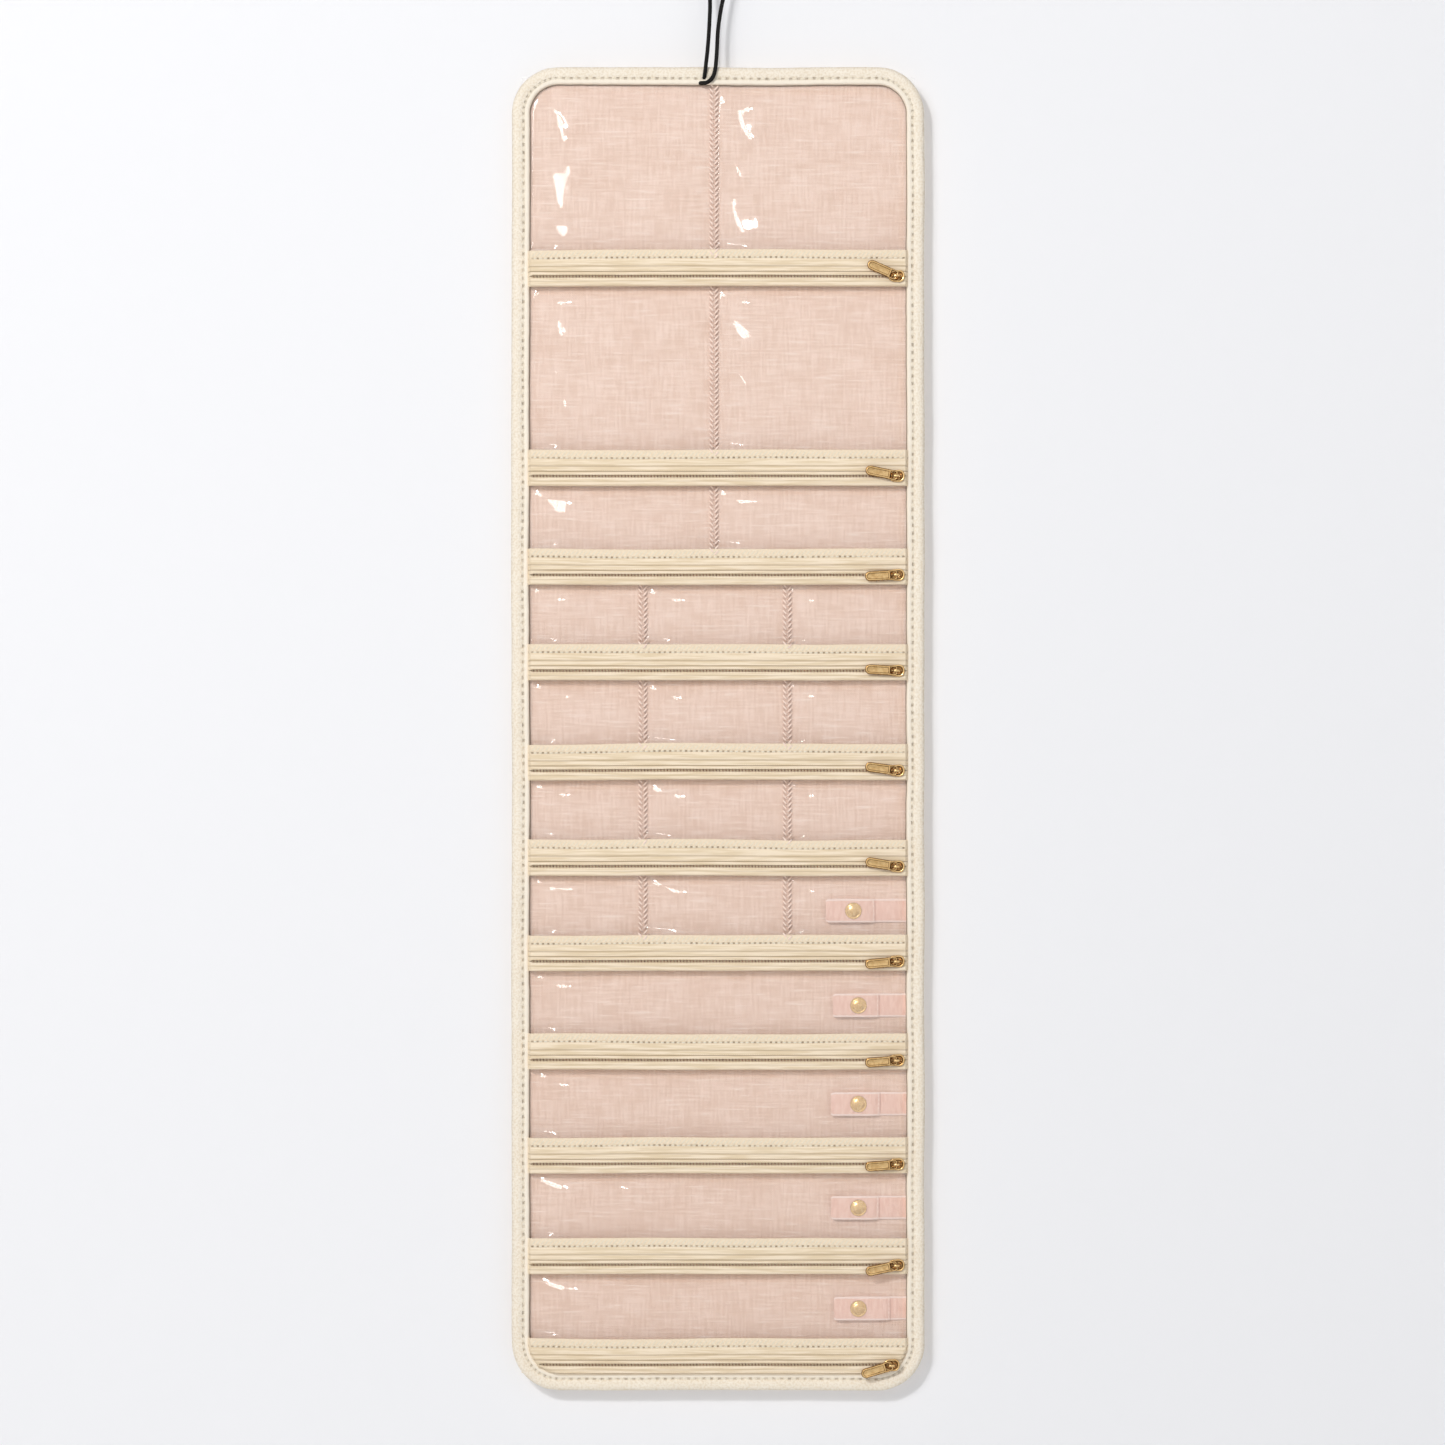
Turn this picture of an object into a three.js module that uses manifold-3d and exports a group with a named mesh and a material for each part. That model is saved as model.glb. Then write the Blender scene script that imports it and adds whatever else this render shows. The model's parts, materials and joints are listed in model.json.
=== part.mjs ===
// A hanging organiser: a bound cloth panel on a loop of cord, with eleven rows of clear pockets and a zip
// along the bottom of each row. Millimetres, +Z up; the front faces -Y and +X is the viewer's right. The
// origin is the inside top of the cord loop, where a hook carries it. A depth is how far something stands in
// front of the backing cloth's front face, measured along -Y.
import * as THREE from "three";
import { mergeVertices } from "three/addons/utils/BufferGeometryUtils.js";
import Module from "manifold-3d";

const wasm = await Module();
wasm.setup();

// Driving sizes of the panel
const gap = 0.3; // between neighbouring pieces
const panelWidth = 203;
const panelDrop = 46; // from the origin down to the panel's top edge
const bindingWidth = 8.5; // as seen from the front
const outerCornerRadius = 23;
const innerCornerRadius = 15;
const clothThickness = 1.2;
const filmThickness = 0.4;
const tapeThickness = 0.8;
const flangeThickness = 0.6; // the tape's turned-out edge, under the binding
const bindingThickness = 1;
const seamAllowance = 3.5; // how far films and tapes reach under the binding

// Driving sizes of the pockets
const pocketDepth = 7; // hollow between the backing and the film
const filmRiseStart = 1.8; // from the binding's inner edge to where the film leaves the backing
const filmWallReach = 0.6; // how far in the film's side wall leans behind its zip
const filmShoulder = 2.5; // from where the film leaves the backing to where it has risen most of the way
const filmCrownReach = 8; // and to where it has risen all the way
const filmMargin = 8.5; // how far the film runs down behind its zip
const filmTuck = 1.8; // how far the next film runs up behind the zip above it
const dividerWidth = 4;

// Driving sizes of the zips
const zipHeight = 17.5; // the tape band
const zipLift = 6; // depth of the tape's front
const slitHeight = 1; // between the two tape edges
const slitRise = 4.7; // from the tape's lower edge up to the slit
const coilWidth = 1.3;
const coilThickness = 1;
const sliderLength = 8;
const sliderHeight = 6;
const sliderPlate = 0.9;
const sliderRearPlate = 0.7;
const sliderParking = 1.5; // from a parked slider to the binding's inner edge
const postLength = 5;
const postThickness = 0.4;
const bridgeSpan = 2.6; // clear length under the bridge
const bridgeWidth = 1.2;
const bridgeThickness = 0.7;
const pullLength = 15.5; // from its crossbar's centre to its tip
const pullWidth = 4.9;
const pullThickness = 1;
const pullClearance = 0.45; // from the crossbar to the bridge and to the slider's front plate
const eyeSideBar = 0.8;
const eyeReach = 3.1; // from the crossbar's centre to the eye's far end

// Driving sizes of the snap straps
const strapHeight = 11.5;
const strapDrop = 17.2; // from the top of a row to the strap's middle
const strapThickness = 0.6;
const strapBaseEnd = 3.2; // from the base ribbon's right end to the binding's inner edge
const strapBaseMargin = 2; // from the socket to the base ribbon's left end
const strapCorner = 1.5;
const strapJoint = 1.2; // width of the sewn joint between flap and base
const snapDiameter = 8.2;
const socketThickness = 1;
const capThickness = 1.2; // at its middle
const capRim = 0.5; // thickness at its edge
const capCrownDiameter = 6.2;
const capCrownRise = 1;

// Driving sizes of the cord
const cordDiameter = 2;
const cordStep = 2.4; // length of one straight piece of the loop
const tieStep = 0.6;
const cordDepth = 4.5; // the cord's centre where it crosses the binding
const holeDiameter = 3.2;
const holeX = -7;
const holeDrop = 5.8; // from the panel's top edge down to the hole's centre
const knotDiameter = 6.4;
const knotThickness = 3.4;

// The rows from the top. A divider is the distance from the binding's left inner edge to a sewn seam.
// A tilt, in degrees, is how far a pull's free end hangs above the zip's line, or below it if negative.
// A strap's joint, snap and tip are distances from the binding's right inner edge. The last slider is parked
// a little short of the others.
const rows = [
  { window: 82, dividers: [91], tilt: 24 },
  { window: 80.5, dividers: [91], tilt: 11.5 },
  { window: 31, dividers: [91], tilt: -3 },
  { window: 29.5, dividers: [56, 127], tilt: 3 },
  { window: 31.5, dividers: [56, 127], tilt: 8 },
  { window: 29.5, dividers: [56, 127], tilt: 9.5 },
  { window: 29, dividers: [56, 127], tilt: -5.5, strap: { joint: 16, snap: 26.5, tip: 40 } },
  { window: 31, dividers: [], tilt: -4.5, strap: { joint: 14, snap: 24, tip: 36.5 } },
  { window: 33.5, dividers: [], tilt: -4.5, strap: { joint: 13.5, snap: 24, tip: 37.5 } },
  { window: 32, dividers: [], tilt: -12, strap: { joint: 14, snap: 24, tip: 37.5 } },
  { window: 31.5, dividers: [], tilt: -17, parkedShort: 2.4, strap: { joint: 8.5, snap: 24, tip: 36 } },
];
const rowsAboveFold = 5;

// Centre line of the cord loop, from its left end at the swing up over the hook and down to its right end.
const cordLine = [
  [-6.0, -4.5, -49.35],
  [-5.6, -4.5, -45.5],
  [-4.9, -3.9, -38.2],
  [-4.4, -2.6, -27.9],
  [-3.5, -1.1, -15.5],
  [-3.8, -0.3, -8.5],
  [-4.4, 0.0, -3.6],
  [-3.1, 0.0, -0.3],
  [0.0, 0.0, 1.0],
  [3.1, 0.0, -0.3],
  [4.4, 0.0, -3.6],
  [3.2, -0.3, -8.5],
  [1.2, -1.1, -15.5],
  [-0.4, -2.6, -27.9],
  [-0.6, -3.9, -38.2],
  [-1.5, -4.5, -45.2],
  [-2.4, -4.5, -49.35],
];
// The same cord below the swing: the left strand turns into the hole, and the right one goes round below it.
const tieLeftLine = [
  [-6.1, -4.5, -49.65],
  [-6.6, -4.4, -50.9],
  [-7.0, -3.1, -51.8],
];
const tieRightLine = [
  [-2.4, -4.5, -49.65],
  [-3.0, -4.6, -51.8],
  [-4.6, -4.8, -53.4],
  [-6.3, -4.7, -53.2],
  [-7.1, -3.9, -52.3],
  [-7.0, -3.0, -51.9],
];

// Places that follow from the sizes
const panelHalf = panelWidth / 2;
const innerHalf = panelHalf - bindingWidth;
const panelTop = -panelDrop;
let nextTop = panelTop - bindingWidth;
for (const row of rows) {
  row.top = nextTop;
  row.tapeTop = row.top - row.window;
  row.tapeLow = row.tapeTop - zipHeight;
  row.slitZ = row.tapeLow + slitRise;
  nextTop = row.tapeLow;
}
const panelBottom = nextTop - bindingWidth;
const foldZ = rows[rowsAboveFold - 1].tapeLow;
const filmSeamDepth = gap + filmThickness;
const tapeFootDepth = filmSeamDepth + gap;
const flangeDepth = tapeFootDepth + flangeThickness;
const bindingInsideDepth = flangeDepth + gap;
const bindingFrontDepth = bindingInsideDepth + bindingThickness;
const bindingBackDepth = -(clothThickness + gap + bindingThickness);
const filmCrownDepth = pocketDepth + filmThickness;
const filmMarginDepth = zipLift - tapeThickness - gap;
const riseX = innerHalf - filmRiseStart;
const tapeHalf = innerHalf - 2 * gap;
const parkedX = (row) => innerHalf - sliderParking - sliderLength / 2 - (row.parkedShort ?? 0);
const holeZ = panelTop - holeDrop;

// Materials
const finish = (color, roughness, metalness = 0, more = {}) =>
  new THREE.MeshStandardMaterial({ color, roughness, metalness, ...more });
const materials = {
  lining: finish(0xe6c7ba, 0.85),
  binding: finish(0xf3e6cf, 0.75),
  tape: finish(0xefe0c2, 0.75),
  film: finish(0xf6f1ee, 0.15, 0, { transparent: true, opacity: 0.3 }),
  gold: finish(0xd9b36c, 0.25, 1),
  ribbon: finish(0xf0c6bc, 0.7),
  cord: finish(0x0c0b0b, 0.8),
};

// Closed bodies as manifold-3d solids, and back to a mesh
function solidOf(geometry) {
  geometry.deleteAttribute("normal");
  geometry.deleteAttribute("uv");
  const merged = mergeVertices(geometry, 1e-4);
  return new wasm.Manifold(
    new wasm.Mesh({
      numProp: 3,
      vertProperties: new Float32Array(merged.attributes.position.array),
      triVerts: new Uint32Array(merged.index.array),
    }),
  );
}

const organiser = new THREE.Group();

function addPiece(name, solid, material, place) {
  const { vertProperties, triVerts } = solid.getMesh();
  const geometry = new THREE.BufferGeometry();
  geometry.setAttribute("position", new THREE.BufferAttribute(vertProperties, 3));
  geometry.setIndex(new THREE.BufferAttribute(triVerts, 1));
  geometry.computeVertexNormals();
  const mesh = new THREE.Mesh(geometry, material);
  mesh.name = name;
  if (place) {
    mesh.position.set(place.x, -place.depth, place.z);
    mesh.rotation.y = place.tilt;
  }
  organiser.add(mesh);
}

// A box from its limits in X, depth and Z
function block([x0, x1], [depth0, depth1], [z0, z1]) {
  const geometry = new THREE.BoxGeometry(x1 - x0, depth1 - depth0, z1 - z0);
  geometry.translate((x0 + x1) / 2, -(depth0 + depth1) / 2, (z0 + z1) / 2);
  return solidOf(geometry);
}

// A front view shape in X and Z, made solid between two depths
function slab(shape, [depth0, depth1], curveSegments = 8) {
  const settings = { depth: depth1 - depth0, bevelEnabled: false, curveSegments };
  const geometry = new THREE.ExtrudeGeometry(shape, settings);
  geometry.translate(0, 0, depth0);
  geometry.rotateX(Math.PI / 2);
  return solidOf(geometry);
}

function roundedRectangle(x0, x1, z0, z1, radius) {
  const shape = new THREE.Shape();
  shape.absarc(x1 - radius, z0 + radius, radius, -Math.PI / 2, 0);
  shape.absarc(x1 - radius, z1 - radius, radius, 0, Math.PI / 2);
  shape.absarc(x0 + radius, z1 - radius, radius, Math.PI / 2, Math.PI);
  shape.absarc(x0 + radius, z0 + radius, radius, Math.PI, (3 * Math.PI) / 2);
  shape.closePath();
  return shape;
}

// The panel's outline, drawn in by a distance
const panelShape = (inset, radius) =>
  roundedRectangle(inset - panelHalf, panelHalf - inset, panelBottom + inset, panelTop - inset, radius);

function disc(x, z, diameter, [depth0, depth1], sides = 16) {
  const geometry = new THREE.CylinderGeometry(diameter / 2, diameter / 2, depth1 - depth0, sides);
  geometry.translate(x, -(depth0 + depth1) / 2, z);
  return solidOf(geometry);
}

function tube(line, diameter, stepLength) {
  const sides = 8;
  const ring = Array.from({ length: sides }, (_, k) => {
    const angle = (2 * Math.PI * k) / sides;
    return new THREE.Vector2(Math.cos(angle), Math.sin(angle)).multiplyScalar(diameter / 2);
  });
  const extrudePath = new THREE.CatmullRomCurve3(line.map((point) => new THREE.Vector3(...point)));
  const steps = Math.ceil(extrudePath.getLength() / stepLength);
  return solidOf(new THREE.ExtrudeGeometry(new THREE.Shape(ring), { steps, extrudePath }));
}

const join = (solids) => solids.reduce((whole, solid) => whole.add(solid));

// Backing and binding, each cut at the fold
const everyX = [-panelWidth, panelWidth];
const everyDepth = [-2 * pocketDepth, 4 * pocketDepth];
const sections = {
  upper: block(everyX, everyDepth, [foldZ + gap / 2, 0]),
  lower: block(everyX, everyDepth, [panelBottom - zipHeight, foldZ - gap / 2]),
};
const cordHole = disc(holeX, holeZ, holeDiameter, everyDepth);
const channelInset = bindingThickness + gap;
const channelShape = panelShape(channelInset, outerCornerRadius - channelInset);
const openingShape = panelShape(bindingWidth, innerCornerRadius);

const backing = slab(channelShape, [-clothThickness, 0]).subtract(cordHole);
const binding = slab(panelShape(0, outerCornerRadius), [bindingBackDepth, bindingFrontDepth])
  .subtract(slab(openingShape, everyDepth))
  .subtract(
    slab(panelShape(bindingThickness, outerCornerRadius - bindingThickness), [
      -(clothThickness + gap),
      bindingInsideDepth,
    ]),
  )
  .subtract(cordHole);
for (const [section, half] of Object.entries(sections)) {
  addPiece("backing_" + section, backing.intersect(half), materials.lining);
  addPiece("binding_" + section, binding.intersect(half), materials.binding);
}

// What keeps films and tapes inside the binding's channel, and clear of its front strip at the corners
const channelSpace = slab(channelShape, [0, 2 * pocketDepth]);
const stripInset = bindingWidth + gap;
const aroundStrip = block(everyX, [bindingInsideDepth - gap, bindingFrontDepth + gap], [
  panelBottom - zipHeight,
  0,
]).subtract(slab(panelShape(stripInset, innerCornerRadius - gap), everyDepth));

// How far the film has risen, from 0 to 1, at a distance from a seam
const shoulderShare = 0.62;
const filmRise = [
  { distance: 0, share: 0 },
  { distance: filmShoulder, share: shoulderShare },
  { distance: filmCrownReach, share: 1 },
];

// X stations of one film: its two edges, its rise from both sides, and down to the cloth at each divider.
// Behind the zip the film is a tray with upright sides, and a divider no longer holds it down.
function filmStations(row) {
  const edge = innerHalf + seamAllowance;
  const wallShare = (shoulderShare * filmWallReach) / filmShoulder;
  const stations = [-1, 1].flatMap((side) => [
    { x: side * edge, share: 0, shareBehindZip: 0, inwards: 0 },
    { x: side * riseX, share: 0, shareBehindZip: 0, inwards: -side },
    { x: side * (riseX - filmWallReach), share: wallShare, shareBehindZip: 1, inwards: -side },
    { x: side * (riseX - filmShoulder), share: shoulderShare, shareBehindZip: 1, inwards: 0 },
    { x: side * (riseX - filmCrownReach), share: 1, shareBehindZip: 1, inwards: 0 },
  ]);
  for (const distanceIn of row.dividers) {
    for (const side of [-1, 1]) {
      for (const { distance, share } of filmRise) {
        const x = distanceIn - innerHalf + side * (dividerWidth / 2 + distance);
        stations.push({ x, share, shareBehindZip: 1, inwards: 0 });
      }
    }
  }
  return stations.sort((a, b) => a.x - b.x);
}

// Z stations of one film, each with the depth of its front: top seam, crown, and the margin behind the zip
function filmLevels(row, tuck) {
  const top = row.top - gap / 2;
  const rise = filmCrownDepth - filmSeamDepth;
  const fall = filmCrownDepth - filmMarginDepth;
  const above = filmRise.map(({ distance, share }) => ({
    z: top - gap - distance,
    depth: filmSeamDepth + rise * share,
  }));
  const below = filmRise.map(({ distance, share }) => ({
    z: row.tapeTop + gap + distance,
    depth: filmMarginDepth + fall * share,
    behindZip: distance === 0,
  }));
  const marginEnd = { z: row.tapeTop - filmMargin, depth: filmMarginDepth, behindZip: true };
  return [{ z: top + tuck, depth: filmSeamDepth }, ...above, ...below.reverse(), marginEnd];
}

// A film of even thickness over a grid of stations, closed round its edge
function filmSolid(row, tuck) {
  const across = filmStations(row);
  const down = filmLevels(row, tuck);
  const position = [];
  for (const back of [0, filmThickness]) {
    for (const { z, depth, behindZip } of down) {
      for (const { x, share, shareBehindZip, inwards } of across) {
        const risen = (depth - filmSeamDepth) * (behindZip ? shareBehindZip : share);
        position.push(x + inwards * back, back - filmSeamDepth - risen, z);
      }
    }
  }
  const columns = across.length;
  const side = columns * down.length;
  const front = (r, c) => r * columns + c;
  const index = [];
  const quad = (a, b, c, d) => index.push(a, b, c, a, c, d);
  for (let r = 0; r + 1 < down.length; r++) {
    for (let c = 0; c + 1 < columns; c++) {
      const [a, b, d, e] = [front(r, c), front(r + 1, c), front(r + 1, c + 1), front(r, c + 1)];
      quad(a, b, d, e);
      quad(side + e, side + d, side + b, side + a);
    }
  }
  const edge = [];
  for (let c = 0; c + 1 < columns; c++) edge.push(front(0, c));
  for (let r = 0; r + 1 < down.length; r++) edge.push(front(r, columns - 1));
  for (let c = columns - 1; c > 0; c--) edge.push(front(down.length - 1, c));
  for (let r = down.length - 1; r > 0; r--) edge.push(front(r, 0));
  edge.forEach((a, k) => {
    const b = edge[(k + 1) % edge.length];
    quad(a, b, side + b, side + a);
  });
  const geometry = new THREE.BufferGeometry();
  geometry.setAttribute("position", new THREE.Float32BufferAttribute(position, 3));
  geometry.setIndex(index);
  return solidOf(geometry);
}

function addFilm(row, number, k) {
  const belowTopBinding = k === 0;
  const belowFold = k === rowsAboveFold;
  let tuck = filmTuck;
  if (belowTopBinding) tuck = seamAllowance;
  if (belowFold) tuck = 0;
  let film = filmSolid(row, tuck);
  if (belowTopBinding) {
    film = film.intersect(channelSpace).subtract(aroundStrip).subtract(cordHole);
  }
  addPiece("window_film_" + number, film, materials.film);
}

// A zip's tape: a raised band with its slit and coil, feet on its lower edge and its sides, and flanges that
// the binding holds. The lowest tape has a flange along its lower edge too.
function addTape(row, number, isLowest) {
  const low = row.tapeLow + gap / 2;
  const wallX = tapeHalf - flangeThickness;
  const flangeX = innerHalf + seamAllowance;
  const bandDepth = [tapeFootDepth, zipLift];
  const flangeSpan = [tapeFootDepth, flangeDepth];
  const backOfTape = zipLift - tapeThickness;
  const coilSpan = [backOfTape - coilThickness, zipLift - tapeThickness / 2];
  const slitHalf = innerHalf - sliderParking - (sliderLength - postLength) / 2 + 2 * gap;
  const under = block([-wallX, wallX], [0, backOfTape], [low + flangeThickness, row.tapeTop + zipHeight]);
  const coil = slitHeight / 2 + coilWidth;
  let tape = join([
    block([-tapeHalf, tapeHalf], bandDepth, [low, row.tapeTop]).subtract(under),
    block([-flangeX, -wallX], flangeSpan, [low, row.tapeTop]),
    block([wallX, flangeX], flangeSpan, [low, row.tapeTop]),
    block([-wallX, wallX], coilSpan, [row.slitZ - coil, row.slitZ + coil]),
  ]);
  if (isLowest) {
    const flangeZ = [low - seamAllowance, low + flangeThickness];
    const bottomFlange = block([-flangeX, flangeX], flangeSpan, flangeZ);
    tape = tape.subtract(aroundStrip).add(bottomFlange).intersect(channelSpace);
  }
  const slit = block([-slitHalf, slitHalf], everyDepth, [
    row.slitZ - slitHeight / 2,
    row.slitZ + slitHeight / 2,
  ]);
  addPiece("zip_tape_" + number, tape.subtract(slit), materials.tape);
}

// A zip's slider: a plate in front of the tape, one behind it, the post between them and the pull's bridge
const frontPlateDepth = zipLift + gap + sliderPlate;
const rearPlateDepth = zipLift - tapeThickness - coilThickness - gap;
const crossbarDepth = frontPlateDepth + pullClearance + pullThickness / 2;
const bridgeInsideDepth = crossbarDepth + pullThickness / 2 + pullClearance;

function addSlider(row, number) {
  const x = parkedX(row);
  const halfLength = sliderLength / 2;
  const halfHeight = sliderHeight / 2;
  const cornerRadius = halfHeight - gap / 2;
  const plate = roundedRectangle(
    x - halfLength,
    x + halfLength,
    row.slitZ - halfHeight,
    row.slitZ + halfHeight,
    cornerRadius,
  );
  const postSpan = [rearPlateDepth - sliderRearPlate / 2, frontPlateDepth - sliderPlate / 2];
  const bridgeZ = [row.slitZ - bridgeWidth / 2, row.slitZ + bridgeWidth / 2];
  const bridgeDepth = [frontPlateDepth - sliderPlate / 2, bridgeInsideDepth + bridgeThickness];
  const bridgeHalf = bridgeSpan / 2 + bridgeThickness;
  const bridge = block([x - bridgeHalf, x + bridgeHalf], bridgeDepth, bridgeZ).subtract(
    block([x - bridgeSpan / 2, x + bridgeSpan / 2], [0, bridgeInsideDepth], [row.tapeLow, row.tapeTop]),
  );
  const slider = join([
    slab(plate, [frontPlateDepth - sliderPlate, frontPlateDepth], 2),
    slab(plate, [rearPlateDepth - sliderRearPlate, rearPlateDepth], 2),
    block([x - postLength / 2, x + postLength / 2], postSpan, [
      row.slitZ - postThickness / 2,
      row.slitZ + postThickness / 2,
    ]),
    bridge,
  ]);
  addPiece("zip_slider_" + number, slider, materials.gold);
}

// A pull about its crossbar's centre, with its free end towards -X, hung on the slider's bridge
const pullHalf = pullWidth / 2;
const pullOutline = new THREE.Shape();
pullOutline.moveTo(pullThickness / 2, -pullHalf);
pullOutline.lineTo(pullThickness / 2, pullHalf);
pullOutline.absarc(pullHalf - pullLength, 0, pullHalf, Math.PI / 2, (3 * Math.PI) / 2);
pullOutline.closePath();
const eyeHalf = pullHalf - eyeSideBar;
const eye = new THREE.Path();
eye.moveTo(-pullThickness / 2, -eyeHalf);
eye.lineTo(-eyeReach, -eyeHalf);
eye.lineTo(-eyeReach, eyeHalf);
eye.lineTo(-pullThickness / 2, eyeHalf);
eye.closePath();
pullOutline.holes.push(eye);

function addPull(row, number) {
  const pull = slab(pullOutline, [-pullThickness / 2, pullThickness / 2], 8);
  const tilt = THREE.MathUtils.degToRad(row.tilt);
  const place = { x: parkedX(row), depth: crossbarDepth, z: row.slitZ, tilt };
  addPiece("zip_pull_" + number, pull, materials.gold, place);
}

// A snap strap inside its pocket: a base ribbon on the cloth with the snap's socket, and a flap over it that
// is sewn to the base at its right end and carries the snap's domed cap
function addStrap(row, number) {
  const { joint, snap, tip } = row.strap;
  const z = row.top - strapDrop;
  const height = [z - strapHeight / 2, z + strapHeight / 2];
  const snapX = innerHalf - snap;
  const baseFront = gap + strapThickness;
  const socketFront = baseFront + socketThickness;
  const flapBack = socketFront + gap;
  const flapFront = flapBack + strapThickness;
  const baseLeft = snapX - snapDiameter / 2 - strapBaseMargin;
  const base = block([baseLeft, innerHalf - strapBaseEnd], [gap, baseFront], height);
  const socket = disc(snapX, z, snapDiameter, [gap, socketFront]);
  addPiece("strap_base_" + number, base.add(socket), materials.ribbon);

  const flapRight = innerHalf - joint;
  const flapShape = roundedRectangle(innerHalf - tip, flapRight, ...height, strapCorner);
  const capProfile = [
    [0, -strapThickness / 2],
    [snapDiameter / 2, -strapThickness / 2],
    [snapDiameter / 2, capRim],
    [capCrownDiameter / 2, capCrownRise],
    [0, capThickness],
  ].map(([radius, rise]) => new THREE.Vector2(radius, rise));
  const capGeometry = new THREE.LatheGeometry(capProfile, 16);
  capGeometry.rotateX(Math.PI);
  capGeometry.translate(snapX, -flapFront, z);
  const flap = join([
    slab(flapShape, [flapBack, flapFront], 3),
    block([flapRight - strapJoint, flapRight], [baseFront + gap, flapFront], height),
    solidOf(capGeometry),
  ]);
  addPiece("snap_strap_" + number, flap, materials.ribbon);
}

rows.forEach((row, k) => {
  const number = String(k + 1).padStart(2, "0");
  addFilm(row, number, k);
  addTape(row, number, k === rows.length - 1);
  addSlider(row, number);
  addPull(row, number);
  if (row.strap) addStrap(row, number);
});

// The loop of cord, and its tie to the panel: through the hole to a knot behind
addPiece("hanging_cord", tube(cordLine, cordDiameter, cordStep), materials.cord);
const plugFront = cordDepth - cordDiameter / 2;
const knotFront = bindingBackDepth - gap;
const knotGeometry = new THREE.SphereGeometry(knotDiameter / 2, 14, 8);
knotGeometry.scale(1, knotThickness / knotDiameter, 1);
knotGeometry.translate(holeX, knotThickness / 2 - knotFront, holeZ);
const tie = join([
  tube(tieLeftLine, cordDiameter, tieStep),
  tube(tieRightLine, cordDiameter, tieStep),
  disc(holeX, holeZ, holeDiameter - 2 * gap, [knotFront - knotThickness / 2, plugFront]),
  solidOf(knotGeometry),
]);
addPiece("cord_tie", tie, materials.cord);

export default organiser;
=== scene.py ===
"""A hanging organiser with clear zipped pockets: its fine shapes, finishes, lights and camera.

Shapes are made in millimetres and stored in metres. +Z is up and the front faces -Y. A depth is how far
something stands in front of the backing cloth's front face, measured along -Y.
"""

import json
import math

import bmesh
import bpy
from mathutils import Matrix, Vector, noise

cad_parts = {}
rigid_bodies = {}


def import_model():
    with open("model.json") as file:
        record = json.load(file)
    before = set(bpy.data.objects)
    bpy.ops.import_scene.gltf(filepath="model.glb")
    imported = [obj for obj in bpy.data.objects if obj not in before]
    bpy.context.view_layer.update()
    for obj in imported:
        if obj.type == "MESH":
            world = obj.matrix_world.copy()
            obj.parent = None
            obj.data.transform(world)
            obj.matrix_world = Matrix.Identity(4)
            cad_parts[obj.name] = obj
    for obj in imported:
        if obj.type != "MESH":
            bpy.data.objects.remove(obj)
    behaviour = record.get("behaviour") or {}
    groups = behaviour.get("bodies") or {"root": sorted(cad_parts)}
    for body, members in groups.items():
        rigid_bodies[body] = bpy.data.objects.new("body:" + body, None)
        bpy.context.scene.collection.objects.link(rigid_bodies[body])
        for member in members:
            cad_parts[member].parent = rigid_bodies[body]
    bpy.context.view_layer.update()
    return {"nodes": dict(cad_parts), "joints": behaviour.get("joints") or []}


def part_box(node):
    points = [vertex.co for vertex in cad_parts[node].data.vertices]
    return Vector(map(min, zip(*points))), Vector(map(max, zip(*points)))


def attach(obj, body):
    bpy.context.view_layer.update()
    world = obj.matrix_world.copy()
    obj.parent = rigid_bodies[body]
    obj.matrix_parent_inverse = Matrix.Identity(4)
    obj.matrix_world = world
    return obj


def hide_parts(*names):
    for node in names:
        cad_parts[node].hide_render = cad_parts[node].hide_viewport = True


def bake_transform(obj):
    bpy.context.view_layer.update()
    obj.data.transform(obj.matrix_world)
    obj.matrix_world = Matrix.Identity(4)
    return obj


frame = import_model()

MM = 0.001
NOISE_SEED = 7
noise.seed_set(NOISE_SEED)  # without it, noise_vector differs from run to run
FRONT = Vector((0, -1, 0))
UP = Vector((0, 0, 1))
RIGHT = Vector((1, 0, 0))

# Driving sizes of the panel
PANEL_WIDTH = 203
PANEL_DROP = 46  # from the origin down to the panel's top edge
BINDING_WIDTH = 8.5
OUTER_CORNER = 23
INNER_CORNER = 15
CLOTH_THICKNESS = 1.2
SEAM_ALLOWANCE = 3.5  # how far films and tapes reach under the binding
CLOTH_INSET = 1.3  # from the panel's edge to the cloth's edge inside the binding
BINDING_STITCH_INSET = 5.8  # from the panel's edge to its row of stitches
BINDING_STITCH_PITCH = 3.85
BINDING_STITCH_DEPTHS = (2.72, -2.45)  # on its front and its back
FOLD_REACH = 4  # how far either side of the fold line extra points are cut, where the cloth would start to turn

# Driving sizes of the pockets
FILM_THICKNESS = 0.4
FILM_SEAM_DEPTH = 0.7
FILM_CROWN_DEPTH = 7.4
FILM_BEHIND_ZIP_DEPTH = 4.9
FILM_RISE_START = 1.8  # from the binding's inner edge to where the film leaves the cloth
FILM_SIDE_REACH = 14  # from there to where it is level
FILM_SLOPE_REACH = 20  # the same on a pocket's left, where it slopes more gently
FILM_TOP_REACH = 9
FILM_WALL_REACH = 0.6  # the same behind the zip, where its sides stand upright
FILM_MARGIN = 8.5  # how far it runs down behind the zip
FILM_TUCK = 1.8  # how far it runs up behind the zip above
FILM_CREASE = 1.7  # the deepest that it sinks
DIVIDER_WIDTH = 4
DIVIDER_STITCH_PITCH = 2.6
DIVIDER_STITCH_SPREAD = 1.25
BACK_STITCH_PITCH = 2.6
TWO_POCKETS = [-2]  # X of the sewn seams between pockets
THREE_POCKETS = [-37, 34]

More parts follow.
